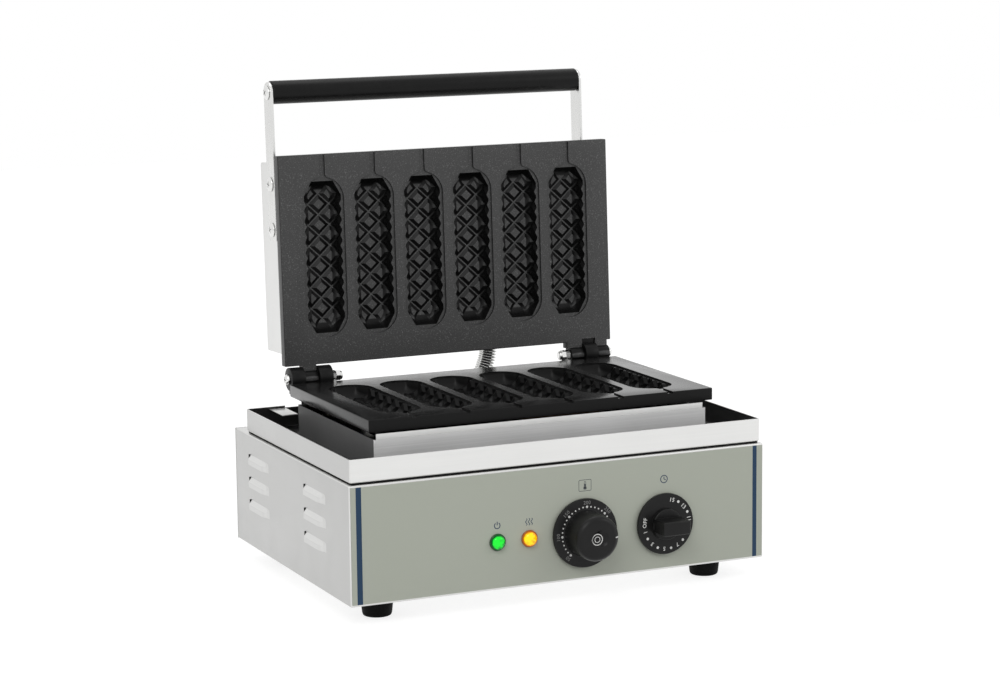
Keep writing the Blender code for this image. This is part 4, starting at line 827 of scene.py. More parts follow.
def make_pocket_tree():
    """A closed cutter for the stick pockets: a diamond lattice wrapped on a U section.

    The grid's X is the way round the section and its Y the way along the stick."""
    tree, given, out = open_tree(
        "waffle_pockets", "GeometryNodeTree",
        [("Stud Across", "Float", STUD_ACROSS), ("Stud Along", "Float", STUD_ALONG),
         ("Groove Depth", "Float", GROOVE_DEPTH), ("Half Width", "Float", POCKET_HALF_W),
         ("Depth", "Float", POCKET_DEPTH), ("Corner Radius", "Float", POCKET_CORNER_R),
         ("End Length", "Float", POCKET_END), ("Taper Length", "Float", POCKET_TAPER),
         ("Taper Share", "Float", POCKET_TAPER_SHARE), ("Rise", "Float", RISE),
         ("Count", "Int", POCKETS), ("Pitch", "Float", POCKET_PITCH), ("Coat", "Material", None)],
        [("Geometry", "Geometry")])
    half_q = given["Stud Across"] * HALF_ROWS_ACROSS
    half_v = given["Stud Along"] * HALF_ROWS_ALONG
    grid = node(tree, "GeometryNodeMeshGrid",
                {"Size X": half_q * 2.0, "Size Y": half_v * 2.0,
                 "Vertices X": int(2 * HALF_ROWS_ACROSS * CELL_STEPS) + 1,
                 "Vertices Y": int(2 * HALF_ROWS_ALONG * CELL_STEPS) + 1})
    q, v, _ = split(node(tree, "GeometryNodeInputPosition"))
    s = q / given["Stud Across"] + v / given["Stud Along"]
    t = q / given["Stud Across"] - v / given["Stud Along"]
    near_s = s.math("PINGPONG", 1.0)
    near_t = t.math("PINGPONG", 1.0)

    rising = near_s.above(near_t)
    first = node(tree, "GeometryNodeTriangulate", {"Mesh": grid, "Selection": rising}, quad_method='FIXED')
    facets = node(tree, "GeometryNodeTriangulate", {"Mesh": first}, quad_method='FIXED_ALTERNATE')
    where = vector_of(tree, q, v, 0.0)
    kept = node(tree, "GeometryNodeStoreNamedAttribute", {"Geometry": facets, "Name": "lay", "Value": where},
                data_type='FLOAT_VECTOR', domain='POINT')

    ring = 1.0 - near_s.least(near_t)
    groove = ((ring - 0.5) / (1.0 - 1.0 / CELL_STEPS - 0.5)).held()
    centre_s = (s / 2.0).math("FLOOR") * 2.0 + 1.0
    centre_t = (t / 2.0).math("FLOOR") * 2.0 + 1.0
    column = abs((centre_s + centre_t) / 2.0)
    row = abs((centre_s - centre_t) / 2.0)
    inside = (row + (column - 1.0).most(0.0) * 0.6).below(6.5)
    raised = given["Groove Depth"] * (1.0 - groove) * inside

    wall = math.radians(POCKET_WALL_DEG)
    radius = given["Corner Radius"]
    slope = (given["Depth"] - radius * (1.0 - math.cos(wall))) / math.sin(wall)
    flat = given["Half Width"] - radius * math.sin(wall) - slope * math.cos(wall)
    way = abs(q)
    bend = ((way - flat) / radius).most(0.0).least(wall)
    up = (way - flat - radius * wall).most(0.0)
    x = way.least(flat) + radius * bend.sin() + up * math.cos(wall) - raised * bend.sin()
    z = radius * (1.0 - bend.cos()) + up * math.sin(wall) - given["Depth"] + raised * bend.cos()
    end = ((abs(v) - half_v + given["End Length"]) / given["End Length"]).held()
    fall = (1.0 - end * end).math("POWER", 0.5)
    shaped = vector_of(tree, x * q.math("SIGN") * taper_of(v, half_v, given), v, z * fall)
    basin = node(tree, "GeometryNodeSetPosition", {"Geometry": kept, "Position": shaped})

    skirt = extruded(tree, basin, given["Rise"])
    lay = node(tree, "GeometryNodeInputNamedAttribute", {"Name": "lay"}, data_type='FLOAT_VECTOR')
    lid_q, lid_v, _ = split(lay)
    narrow = given["Half Width"] / half_q
    lid_spot = vector_of(tree, lid_q * narrow * taper_of(lid_v, half_v, given), lid_v, given["Rise"])
    roof = node(tree, "GeometryNodeSetPosition",
                {"Geometry": skirt["Mesh"], "Selection": skirt["Top"], "Position": lid_spot})
    closed = welded(tree, roof, node(tree, "GeometryNodeFlipFaces", {"Mesh": basin}))

    start = given["Pitch"] * (given["Count"] - 1.0) * -0.5
    line = node(tree, "GeometryNodeMeshLine",
                {"Count": given["Count"], "Start Location": vector_of(tree, start, 0.0, 0.0),
                 "Offset": vector_of(tree, given["Pitch"], 0.0, 0.0)})
    return dressed(tree, line, closed, given["Coat"], out)


def taper_of(along, half, given):
    return 1.0 - ((abs(along) - half + given["Taper Length"]) / given["Taper Length"]).held() * given["Taper Share"]


def recess_outline(front):
    """A stadium round the pocket, flaring into the stick channel; front is its y direction."""
    reach = RECESS_HALF_L - RECESS_R
    flare_x = CHANNEL_HALF_W + CHANNEL_FLARE
    flare_y = reach + math.sqrt((RECESS_R + CHANNEL_FLARE) ** 2 - flare_x ** 2)
    meet = math.degrees(math.atan2(flare_y - reach, flare_x))
    tip = POCKET_MIDDLE
    right = arc((0, reach), RECESS_R, 0, meet, 14)
    right += arc((flare_x, flare_y), CHANNEL_FLARE, 180 + meet, 180, 5)
    right += [(CHANNEL_HALF_W, tip)]
    left = [(-x, y) for x, y in reversed(right)]
    back = arc((0, -reach), RECESS_R, 180, 360, 28)
    return [(x, y * front) for x, y in right + left + back]


PLATE_HALF_W = 176.35 * MM
PLATE_NEAR = 12.6 * MM
PLATE_FAR = 216.8 * MM
PLATE_T = 10.2 * MM
LOWER_PLATE_T = 11.7 * MM
PLATE_EDGE = 0.9 * MM
BLOCK_HALF_W = 158.35 * MM
BLOCK_NEAR = 24.3 * MM
BLOCK_FAR = 201.6 * MM
BLOCK_T = 12.0 * MM
LOWER_FACE = -2.8 * MM
UPPER_FACE = -1.8 * MM
KNUCKLE_LOWER_R = 11.3 * MM
KNUCKLE_UPPER_R = 7.4 * MM
KNUCKLE_W = 14.0 * MM
KNUCKLE_GAP = 0.4 * MM
KNUCKLE_OUT = 172.75 * MM
KNUCKLE_STEP = KNUCKLE_W + KNUCKLE_GAP
KNUCKLE_IN = KNUCKLE_OUT - 2 * KNUCKLE_STEP - KNUCKLE_W
KNUCKLE_EDGE = 0.5 * MM
EAR_LAP = 2.0 * MM
EAR_EXTRA = 3.0 * MM
NOTCH_ROOM = 4.5 * MM
KNUCKLE_LUG_T = 4.0 * MM
KNUCKLE_LUG_H = 15.1 * MM
EAR_HEEL = 6.8 * MM
UPPER_EAR_INSET = 4.0 * MM
BOLT_R = 3.0 * MM
POST_R = 5.0 * MM
POST_SIDE = 156.0 * MM
POST_SPOTS = [(side * POST_SIDE, -reach) for side in (-1, 1) for reach in (32.1 * MM, 196.1 * MM)]
POST_HOLE = 8.8 * MM
LOWER_POST = 47.2 * MM
UPPER_POST = 81.2 * MM


def mould_data(way, face, slab_t, knuckle_r, outer_side, post):
    """A casting in hinge coordinates; its back lies towards way and its knuckles alternate."""
    def layer(depth):
        return face + way * depth
    slab_range = (layer(0), layer(slab_t))
    ear_range = (-PLATE_NEAR - EAR_LAP, 0)
    clear_range = (face - 2 * PLATE_T, face + 2 * PLATE_T)

    def across(start, end, side=outer_side):
        return side * start, side * end
    slab = bevelled(range_box((-PLATE_HALF_W, PLATE_HALF_W), (-PLATE_NEAR, -PLATE_FAR), slab_range), PLATE_EDGE)
    block = bevelled(range_box((-BLOCK_HALF_W, BLOCK_HALF_W), (-BLOCK_NEAR, -BLOCK_FAR),
                               (layer(PLATE_T / 2), layer(PLATE_T + BLOCK_T))), 3 * PLATE_EDGE)
    shape = combine(slab, block, 'UNION')
    inner = KNUCKLE_IN - EAR_EXTRA
    outer = KNUCKLE_OUT if way < 0 else PLATE_HALF_W - UPPER_EAR_INSET
    ear = bevelled(range_box(across(inner, outer), ear_range, slab_range), PLATE_EDGE, 2)
    web = range_box(across(KNUCKLE_IN + KNUCKLE_STEP, KNUCKLE_OUT - KNUCKLE_STEP, -outer_side),
                    ear_range, slab_range)
    for lug in (ear, web):
        shape = combine(shape, lug, 'UNION')
    heel = range_box(across(inner - RISE, KNUCKLE_IN + KNUCKLE_GAP), (-EAR_HEEL, RISE), clear_range)
    shape = combine(shape, heel)
    for low, side in ((KNUCKLE_IN, outer_side), (KNUCKLE_OUT - KNUCKLE_W, outer_side),
                      (KNUCKLE_IN + KNUCKLE_STEP, -outer_side)):
        knuckle = rod_data(knuckle_r, (side * low, 0, 0), (side * (low + KNUCKLE_W), 0, 0), 48)
        shape = combine(shape, bevelled(knuckle, KNUCKLE_EDGE, 2), 'UNION')
    if way < 0:
        low = KNUCKLE_IN + KNUCKLE_STEP
        lug = range_box(across(low, low + KNUCKLE_W, -outer_side), (0, KNUCKLE_LUG_T),
                        (-KNUCKLE_LUG_T / 2, KNUCKLE_LUG_H))
        shape = combine(shape, bevelled(lug, KNUCKLE_EDGE, 2), 'UNION')
    other_r = KNUCKLE_UPPER_R + KNUCKLE_LOWER_R - knuckle_r
    notch = range_box(across(KNUCKLE_IN + KNUCKLE_W, KNUCKLE_OUT - KNUCKLE_W),
                      (-other_r - NOTCH_ROOM, knuckle_r + RISE), clear_range)
    shape = combine(shape, notch)
    for side in (-1, 1):
        bore = rod_data(BOLT_R + FIT, (side * (KNUCKLE_IN - RISE), 0, 0), (side * (KNUCKLE_OUT + RISE), 0, 0), 24)
        shape = combine(shape, bore)
    for x, y in POST_SPOTS:
        pillar = rod_data(POST_R, (x, y, layer(PLATE_T / 2)), (x, y, layer(post)), 24)
        shape = combine(shape, pillar, 'UNION')
        hole = rod_data(BOLT_R - FIT, (x, y, layer(post - POST_HOLE)), (x, y, layer(post + RISE)), 16)
        shape = combine(shape, hole)

    turn = Matrix.Identity(4) if way < 0 else Matrix.Rotation(math.pi, 4, 'X')
    seat = Matrix.Translation((0, -POCKET_MIDDLE, layer(RECESS_DEPTH))) @ turn
    flat = outline_data(recess_outline(-1), 2 * RECESS_DEPTH)
    for i in range(POCKETS):
        x = (i - (POCKETS - 1) / 2) * POCKET_PITCH
        shape = combine(shape, moved(flat, at(x, -POCKET_MIDDLE, face)))
    return combine(shape, moved(POCKET_CUTTER, seat))


POCKET_TREE = make_pocket_tree()
POCKET_CUTTER = grown(POCKET_TREE, {"Coat": CAST_BED, "Count": POCKETS})


def make_moulds():
    for name, place, look, body, way, *sizes in (
            ("lower", CLOSED_BED, CAST_BED, "base", -1, LOWER_FACE, LOWER_PLATE_T, KNUCKLE_LOWER_R, -1, LOWER_POST),
            ("upper", OPEN_LID, CAST_LID, "lid", 1, UPPER_FACE, PLATE_T, KNUCKLE_UPPER_R, 1, UPPER_POST)):
        mould = mould_data(way, *sizes)
        mould.transform(place)
        piece("mould_" + name, mould, look, body, [name + "_plate"], 28)


make_moulds()


# Sheet metal

BODY_BEND = 1.2 * MM
BODY_FLANGE = 12 * MM
DECK_CUT_HALF_W = 120 * MM
DECK_CUT_REACHES = (56.7 * MM, 176.7 * MM)
LOUVRE_HALF_L = 27 * MM
LOUVRE_HALF_H = 4.75 * MM
LOUVRE_PROUD = 3.0 * MM
LOUVRE_ROWS = 3
LOUVRE_PITCH = 22.4 * MM
LOUVRE_TOP = 23.5 * MM
LOUVRE_FROM_FRONT = 85.5 * MM
LOUVRE_FROM_REAR = 67.0 * MM
CONTROL_Z = BASE_Z + 45.0 * MM
THERMOSTAT = Vector(JOINTS["thermostat"]["pos_m"])
TIMER = Vector(JOINTS["timer"]["pos_m"])
POWER_LAMP_X = -67.05 * MM
HEAT_LAMP_X = -35.1 * MM
LAMP_BODY_R = 5.5 * MM
SHAFT_R = 3.0 * MM
FOOT_X = 169.55 * MM
FOOT_INSET_Y = 41.0 * MM
FOOT_HOLE_R = 2.8 * MM
CONDUIT_BASE = Vector((40.4 * MM, REAR_Y - 13.5 * MM, DECK_Z))
CONDUIT_HOLE_R = 7.4 * MM
CAPILLARY = (THERMOSTAT.x + 51 * MM, HINGE.y - 204.9 * MM, DECK_Z)
CAPILLARY_HOLE_R = 3.0 * MM
# Black strips at the rear end of each louvre: a painted shade for the dark mouth under the hood
SHADOW_STRIP_L = 1.6 * MM
SHADOW_STRIP_PROUD = 1.1 * MM


def open_box_data(low, high, missing, flange=0.0):
    def build(work):
        add_cube(work, low, high)
        work.normal_update()
        gone = [face for face in work.faces if any(face.normal.dot(Vector(side)) > 0.5 for side in missing)]
        if flange:
            bmesh.ops.inset_individual(work, faces=gone, thickness=flange)
        bmesh.ops.delete(work, geom=gone, context='FACES')
    return mesh_of(build)


def sheet_box_data(low, high, missing, bend, flange=0.0):
    """A folded box of sheet, its bends rounded, without its missing sides."""
    source = temporary(open_box_data(low, high, missing, flange))
    round_edges(source, bend, 4)
    wall = source.modifiers.new("sheet", 'SOLIDIFY')
    wall.thickness = SHEET
    wall.offset = -1
    wall.use_even_offset = True
    return clean_normals(settled(source))


def make_hood_tree():
    """Louvre hoods: a grid pressed out of the wall, open along its foot, for one side of the body."""
    tree, given, out = open_tree(
        "louvre_hoods", "GeometryNodeTree",
        [("Half Length", "Float", LOUVRE_HALF_L), ("Half Height", "Float", LOUVRE_HALF_H),
         ("Proud", "Float", LOUVRE_PROUD), ("Wall", "Float", SHEET), ("Rows", "Int", LOUVRE_ROWS),
         ("Row Pitch", "Float", LOUVRE_PITCH), ("Column Pitch", "Float", 0.1), ("Coat", "Material", None)],
        [("Geometry", "Geometry")])
    grid = node(tree, "GeometryNodeMeshGrid",
                {"Size X": given["Half Length"] * 2.0, "Size Y": given["Half Height"] * 2.0,
                 "Vertices X": 45, "Vertices Y": 15})
    x, y, _ = split(node(tree, "GeometryNodeInputPosition"))
    front = ((given["Half Length"] - x) / (15 * MM)).held()
    rear = ((given["Half Length"] + x) / (3.5 * MM)).held()
    top = ((given["Half Height"] - y) / (given["Half Height"] * 1.1)).held()
    rise = soft(front) * soft(rear) * soft(top) * given["Proud"]
    pressed = node(tree, "GeometryNodeSetPosition", {"Geometry": grid, "Position": vector_of(tree, x, y, rise)})
    wall = extruded(tree, pressed, given["Wall"] * -1.0)
    hood = welded(tree, wall["Mesh"], node(tree, "GeometryNodeFlipFaces", {"Mesh": pressed}))
    spots = node(tree, "GeometryNodeMeshGrid",
                 {"Size X": given["Column Pitch"], "Size Y": given["Row Pitch"] * (given["Rows"] - 1.0),
                  "Vertices X": 2, "Vertices Y": given["Rows"]})
    return dressed(tree, spots, hood, given["Coat"], out)


def soft(share):
    """An even rise from 0 to 1 with flat ends."""
    return share * share * (3.0 - share * 2.0)


def foot_spots():
    return [(x, y, BASE_Z) for y in (FRONT_Y + FOOT_INSET_Y, REAR_Y - FOOT_INSET_Y) for x in (-FOOT_X, FOOT_X)]


def make_body_sheet():
    shell = sheet_box_data((-HALF_W, FRONT_Y, BASE_Z), (HALF_W, REAR_Y, DECK_Z), [(0, 1, 0), (0, 0, -1)],
                           BODY_BEND, BODY_FLANGE)
    cuts = [range_box((-DECK_CUT_HALF_W, DECK_CUT_HALF_W), [HINGE.y - reach for reach in DECK_CUT_REACHES],
                      (DECK_Z - RISE, DECK_Z + RISE))]
    for x, radius in ((POWER_LAMP_X, LAMP_BODY_R + FIT), (HEAT_LAMP_X, LAMP_BODY_R + FIT),
                      (THERMOSTAT.x, SHAFT_R + FIT), (TIMER.x, SHAFT_R + FIT)):
        cuts.append(hole_data(radius, (x, FRONT_Y, CONTROL_Z), TO_REAR, 24))
    cuts += [hole_data(FOOT_HOLE_R, spot, UP) for spot in foot_spots()]
    cuts.append(hole_data(CONDUIT_HOLE_R, CONDUIT_BASE, UP, 24))
    cuts.append(hole_data(CAPILLARY_HOLE_R, CAPILLARY, UP))
    front, rear = FRONT_Y + LOUVRE_FROM_FRONT, REAR_Y - LOUVRE_FROM_REAR
    rows = [DECK_Z - LOUVRE_TOP - row * LOUVRE_PITCH for row in range(LOUVRE_ROWS)]
    for z in rows:
        for y in (front, rear):
            for side in (-1, 1):
                cuts.append(range_box((side * (HALF_W - RISE), side * (HALF_W + RISE)),
                                      (y - LOUVRE_HALF_L + 4 * MM, y + LOUVRE_HALF_L - 2 * MM),
                                      (z - LOUVRE_HALF_H + 0.2 * MM, z + LOUVRE_HALF_H * 0.2)))
    for tool in cuts:
        shell = combine(shell, tool)
    piece("body_sheet", shell, STEEL, "base", ["base_shell"])
    pieces, shadow_strips = [], []
    middle = Vector((0, (front + rear) / 2, DECK_Z - LOUVRE_TOP - LOUVRE_PITCH * (LOUVRE_ROWS - 1) / 2))
    hoods = grown(make_hood_tree(), {"Column Pitch": rear - front, "Coat": STEEL_HOOD_LIT})
    for side in (-1, 1):
        stand = Matrix(((0, 0, side, side * (HALF_W - 0.02 * MM)), (-1, 0, 0, middle.y), (0, 1, 0, middle.z),
                        (0, 0, 0, 1)))
        pieces.append(clean_normals(moved(hoods, stand)))
        # painted shade: a black strip at each hood's rear end stands for the dark mouth of the louvre
        for y in (front, rear):
            for z in rows:
                end = y + LOUVRE_HALF_L
                shadow_strips.append(range_box((side * HALF_W, side * (HALF_W + SHADOW_STRIP_PROUD)), (end - SHADOW_STRIP_L, end),
                                       (z - 0.4 * MM, z + LOUVRE_HALF_H - 0.3 * MM)))
    piece("louvres", joined(pieces), STEEL_HOOD_LIT, "base")
    piece("louvre_shadow_strips", joined(shadow_strips), RUBBER, "base")


TRAY_BEND = 2.0 * MM
TRAY_DIP = 1.9 * MM
TRAY_DIP_HALF_W = 169.0 * MM
TRAY_TAB_W = 16.5 * MM
TRAY_TAB_L = 38.0 * MM


def make_tray_sheet():
    tray = sheet_box_data(TRAY_LOW, TRAY_HIGH, [(0, 0, 1)], TRAY_BEND)
    tray = combine(tray, range_box((HOUSING_LOW.x - FIT, HOUSING_HIGH.x + FIT),
                                   (HOUSING_LOW.y - FIT, HOUSING_HIGH.y + FIT),
                                   (TRAY_LOW.z - RISE, TRAY_LOW.z + SHEET + FIT)))
    dip = TRAY_HIGH.z - TRAY_DIP
    tray = combine(tray, range_box((-TRAY_DIP_HALF_W, TRAY_DIP_HALF_W), (TRAY_HIGH.y - RISE, TRAY_HIGH.y + RISE),
                                   (dip, TRAY_HIGH.z + RISE)))
    pieces = []
    for side in (-1, 1):
        near = side * TRAY_DIP_HALF_W
        tab = range_box((near, near + side * TRAY_TAB_W), (TRAY_HIGH.y - SHEET / 2, TRAY_HIGH.y - TRAY_TAB_L),
                        (dip - SHEET, dip))
        pieces.append(bevelled(tab, 0.3 * MM, 2))
    piece("tray_sheet", tray, STEEL_TRAY, "base", ["drip_tray"])
    piece("tray_tabs", joined(pieces), STEEL, "base")


def make_housing_sheet():
    housing = sheet_box_data(HOUSING_LOW, HOUSING_HIGH, [(0, 0, 1)], 1.2 * MM)
    middle = HINGE.y - POCKET_MIDDLE
    housing = combine(housing, range_box((-5 * MM, 5 * MM), (middle - 5 * MM, middle + 5 * MM),
                                         (HOUSING_LOW.z - RISE, HOUSING_LOW.z + RISE)))
    piece("housing_sheet", housing, STEEL_COARSE, "base", ["lower_housing"])


CASE_HALF_W = 164.95 * MM
CASE_NEAR = 19.6 * MM
CASE_FAR = 207.3 * MM
CASE_DEPTH = 82.5 * MM
CONDUIT_LID = (54.4 * MM, -CASE_NEAR, UPPER_FACE + 34 * MM)
ARM_T = 2.4 * MM
ARM_W = 20.7 * MM
ARM_Z = UPPER_FACE + 46.0 * MM
ARM_START = 132.0 * MM
ARM_SCREWS = (142.6 * MM, 187.2 * MM)
GRIP_REACH = 276.6 * MM
GRIP_R = 11.4 * MM
GRIP_EDGE = 1.2 * MM
GRIP_BORE = 6.1 * MM
SCREW_HOLE_R = 2.8 * MM


def make_case():
    back = UPPER_FACE + CASE_DEPTH
    case = sheet_box_data((-CASE_HALF_W, -CASE_FAR, UPPER_FACE + PLATE_T + FIT), (CASE_HALF_W, -CASE_NEAR, back),
                          [(0, 0, -1)], 2 * MM)
    holes = [hole_data(SCREW_HOLE_R, (x, y, back), UP) for x, y in POST_SPOTS]
    holes += [hole_data(SCREW_HOLE_R, (side * CASE_HALF_W, -reach, ARM_Z), (side, 0, 0))
              for side in (-1, 1) for reach in ARM_SCREWS]
    holes.append(hole_data(CONDUIT_HOLE_R, CONDUIT_LID, TO_REAR, 24))
    for tool in holes:
        case = combine(case, tool)
    case.transform(OPEN_LID)
    piece("case_upper", case, STEEL_CASE, "lid", ["lid_cover"])


def make_handle():
    outline = [(ARM_START, ARM_Z + ARM_W / 2), (ARM_START, ARM_Z - ARM_W / 2)]
    outline += arc((GRIP_REACH, ARM_Z), ARM_W / 2, -90, 90, 28)
    holes = [arc((reach, ARM_Z), SCREW_HOLE_R, 0, 345, 23) for reach in (*ARM_SCREWS, GRIP_REACH)]
    for name, side in SIDES:
        bar = outline_data(outline, ARM_T, 0.25 * MM, 2, holes)
        spot = side * (CASE_HALF_W + FIT + ARM_T / 2)
        bar.transform(Matrix(((0, 0, 1, spot), (-1, 0, 0, 0), (0, 1, 0, 0), (0, 0, 0, 1))))
        bar = clean_normals(bar)
        bar.transform(OPEN_LID)
        piece("arm_" + name, bar, STEEL_ARM, "lid", ["handle_arm_" + name])
    end = CASE_HALF_W
    shape = [(GRIP_BORE + FIT, end), (GRIP_R - GRIP_EDGE, end)]
    shape += [(GRIP_R - GRIP_EDGE + x, end - GRIP_EDGE + y) for x, y in arc((0, 0), GRIP_EDGE, 75, 0, 4)]
    shape += [(r, -z) for r, z in reversed(shape)]
    grip = turned_data(shape + [shape[0]], 64)
    grip.transform(OPEN_LID @ at(0, -GRIP_REACH, ARM_Z) @ Matrix.Rotation(math.pi / 2, 4, 'Y'))
    piece("grip", grip, GRIP_SKIN, "lid", ["handle_grip"])


make_body_sheet()
make_tray_sheet()
make_housing_sheet()
make_case()
make_handle()


# Dials: shapes made along Z, which points out of the panel

STANDOFF = 1.8 * MM
SKIRT_T = 3.2 * MM
SKIRT_EDGE = 0.6 * MM
SHOULDER = STANDOFF + SKIRT_T
DIAL_BORE_R = SHAFT_R + FIT
DIAL_BORE = STANDOFF + 14 * MM
THERMOSTAT_SKIRT_R = 32.5 * MM
THERMOSTAT_CAP_R = 21.8 * MM
THERMOSTAT_TIP_R = 21.6 * MM
THERMOSTAT_ROUND = 6.0 * MM
THERMOSTAT_TIP = 34.0 * MM - 1.0 * MM
DIMPLE_R = 12.0 * MM
DIMPLE_X = 1.5 * MM
DIMPLE_DEPTH = 3.2 * MM
TIMER_SKIRT_R = 29.0 * MM
TIMER_HUB_R = 15.0 * MM
TIMER_HUB_T = 4.0 * MM
TIMER_GRIP = (28.5 * MM, 13.3 * MM, 28.5 * MM)


def panel_frame(x):
    return Matrix(((1, 0, 0, x), (0, 0, -1, FOIL_FACE), (0, 1, 0, CONTROL_Z), (0, 0, 0, 1)))


def skirt_profile(radius):
    """From the skirt's top, round its edge, to its middle at the back."""
    back = STANDOFF
    edge = arc((radius - SKIRT_EDGE, SHOULDER - SKIRT_EDGE), SKIRT_EDGE, 90, 0, 4)
    low = arc((radius - SKIRT_EDGE / 2, back + SKIRT_EDGE / 2), SKIRT_EDGE / 2, 0, -90, 2)
    bore = [(DIAL_BORE_R, back), (DIAL_BORE_R, DIAL_BORE), (0, DIAL_BORE)]
    return edge + low + bore


def make_thermostat_dial():
    tip = THERMOSTAT_TIP
    crown = arc((THERMOSTAT_TIP_R - THERMOSTAT_ROUND, tip - THERMOSTAT_ROUND), THERMOSTAT_ROUND, 86, 4, 12)
    foot = [(THERMOSTAT_CAP_R - 0.15 * MM, SHOULDER + 1.5 * MM), (THERMOSTAT_CAP_R, SHOULDER + 0.9 * MM)]
    foot += [(THERMOSTAT_CAP_R + 0.9 * MM - 0.9 * MM * math.cos(a), SHOULDER + 0.9 * MM - 0.9 * MM * math.sin(a))
             for a in (0.5, 1.0, 1.57)]
    cap = [(0, tip + 0.25 * MM), (8 * MM, tip + 0.15 * MM)] + crown + foot
    dial = turned_data(cap + skirt_profile(THERMOSTAT_SKIRT_R), 96)

    def ball(work):
        bmesh.ops.create_uvsphere(work, u_segments=64, v_segments=32, radius=DIMPLE_R,
                                  matrix=Matrix.Translation((DIMPLE_X, 0, tip + DIMPLE_R - DIMPLE_DEPTH)))
    dial = combine(dial, mesh_of(ball))
    dial.transform(panel_frame(THERMOSTAT.x))
    piece("thermostat_dial_cap", dial, PLASTIC, "thermostat_dial", ["thermostat_knob"])


def make_timer_dial():
    hub_top = SHOULDER + TIMER_HUB_T
    hub = [(0, hub_top)] + arc((TIMER_HUB_R - 1.2 * MM, hub_top - 1.2 * MM), 1.2 * MM, 90, 5, 6)
    hub += [(TIMER_HUB_R, SHOULDER)]
    dial = turned_data(hub + skirt_profile(TIMER_SKIRT_R), 96)
    long, wide, high = TIMER_GRIP
    grip = bevelled(box_data((-long / 2, -wide / 2, SHOULDER + TIMER_HUB_T / 2), (long / 2, wide / 2, high)),
                    1.8 * MM, 4)
    grip = combine(grip, rod_data(DIAL_BORE_R, (0, 0, 0), (0, 0, DIAL_BORE), 24))
    dial = combine(dial, grip, 'UNION')
    dial.transform(panel_frame(TIMER.x))
    piece("timer_dial_bar", dial, PLASTIC, "timer_dial", ["timer_knob"])


make_thermostat_dial()
make_timer_dial()


# Fastenings

HEAD_T = 2.6 * MM
CASE_HEAD_R = 4.8 * MM
ARM_HEAD_R = 7.0 * MM
SCREW_R = 2.5 * MM
CASE_SHANK = 9.0 * MM
ARM_SHANK = 10.0 * MM
HINGE_HEAD_R = 5.2 * MM
HINGE_HEAD_T = 4.0 * MM
NUT_R = 5.5 * MM
NUT_T = 4.8 * MM
LOCK_T = 6.6 * MM
LOCK_COLLAR = 2.2 * MM
CROWN_SHARES = ((0, 1.0), (0.3, 0.985), (0.55, 0.92), (0.75, 0.8),
                (0.88, 0.63), (0.96, 0.42), (1.0, 0.2), (0.985, 0))


def screw_data(head_r, head_t, radius, shank, recess):
    """A domed screw along Z, its head on z = 0, with a cross recess of that reach."""
    profile = [(head_r * r, head_t * z) for r, z in CROWN_SHARES] + [(radius, 0), (radius, -shank), (0, -shank)]
    shape = turned_data(profile, 40)
    narrow = recess * 0.17
    for size in ((recess, narrow), (narrow, recess)):
        arm = box_data((-size[0], -size[1], head_t * 0.3), (size[0], size[1], head_t * 2))
        shape = combine(shape, arm)
    return shape


def nut_data(height, collar):
    """A hexagon nut with chamfered corners; the part above its hexagon is a round collar."""
    hexagon = rod_data(NUT_R, (0, 0, 0), (0, 0, height - collar), 6)
    chamfer = turned_data([(0, height), (NUT_R * 0.88, height - collar), (NUT_R * 1.02, height - collar - 0.5 * MM),
                           (NUT_R * 1.02, 0.4 * MM), (NUT_R * 0.93, -0.1 * MM), (0, -0.1 * MM)], 48)
    shape = combine(hexagon, chamfer, 'INTERSECT')
    if collar:
        rounded = arc((NUT_R * 0.8 - 0.8 * MM, height - 0.8 * MM), 0.8 * MM, 90, 0, 4)
        ring = turned_data([(0, height)] + rounded + [(NUT_R * 0.8, 1 * MM), (0, 1 * MM)], 48)
        shape = combine(shape, ring, 'UNION')
    return combine(shape, rod_data(BOLT_R + FIT, (0, 0, -MM), (0, 0, height + MM), 32))


def make_screws():
    case = screw_data(CASE_HEAD_R, HEAD_T, SCREW_R, CASE_SHANK, 2.6 * MM)
    heads = joined([moved(case, at(x, y, UPPER_FACE + CASE_DEPTH + FIT)) for x, y in POST_SPOTS])
    heads.transform(OPEN_LID)
    piece("case_screws", heads, BRIGHT, "lid",
          ["cover_screw_%s_%s" % (end, side) for end in ("rear", "front") for side in ("left", "right")], 30)
    arm = screw_data(ARM_HEAD_R, HEAD_T, SCREW_R, ARM_SHANK, 3.2 * MM)
    out = CASE_HALF_W + 2 * FIT + ARM_T
    for name, side in SIDES:
        heads = [moved(arm, aim((side * out, -reach, ARM_Z), (side, 0, 0))
                       @ Matrix.Rotation(0.4 + 0.9 * turn, 4, 'Z'))
                 for turn, reach in enumerate((*ARM_SCREWS, GRIP_REACH))]
        heads = joined(heads)
        heads.transform(OPEN_LID)
        piece("arm_screws_" + name, heads, BRIGHT, "lid",
              ["arm_screw_%s_rear" % name, "arm_screw_%s_front" % name, "grip_screw_" + name], 30)


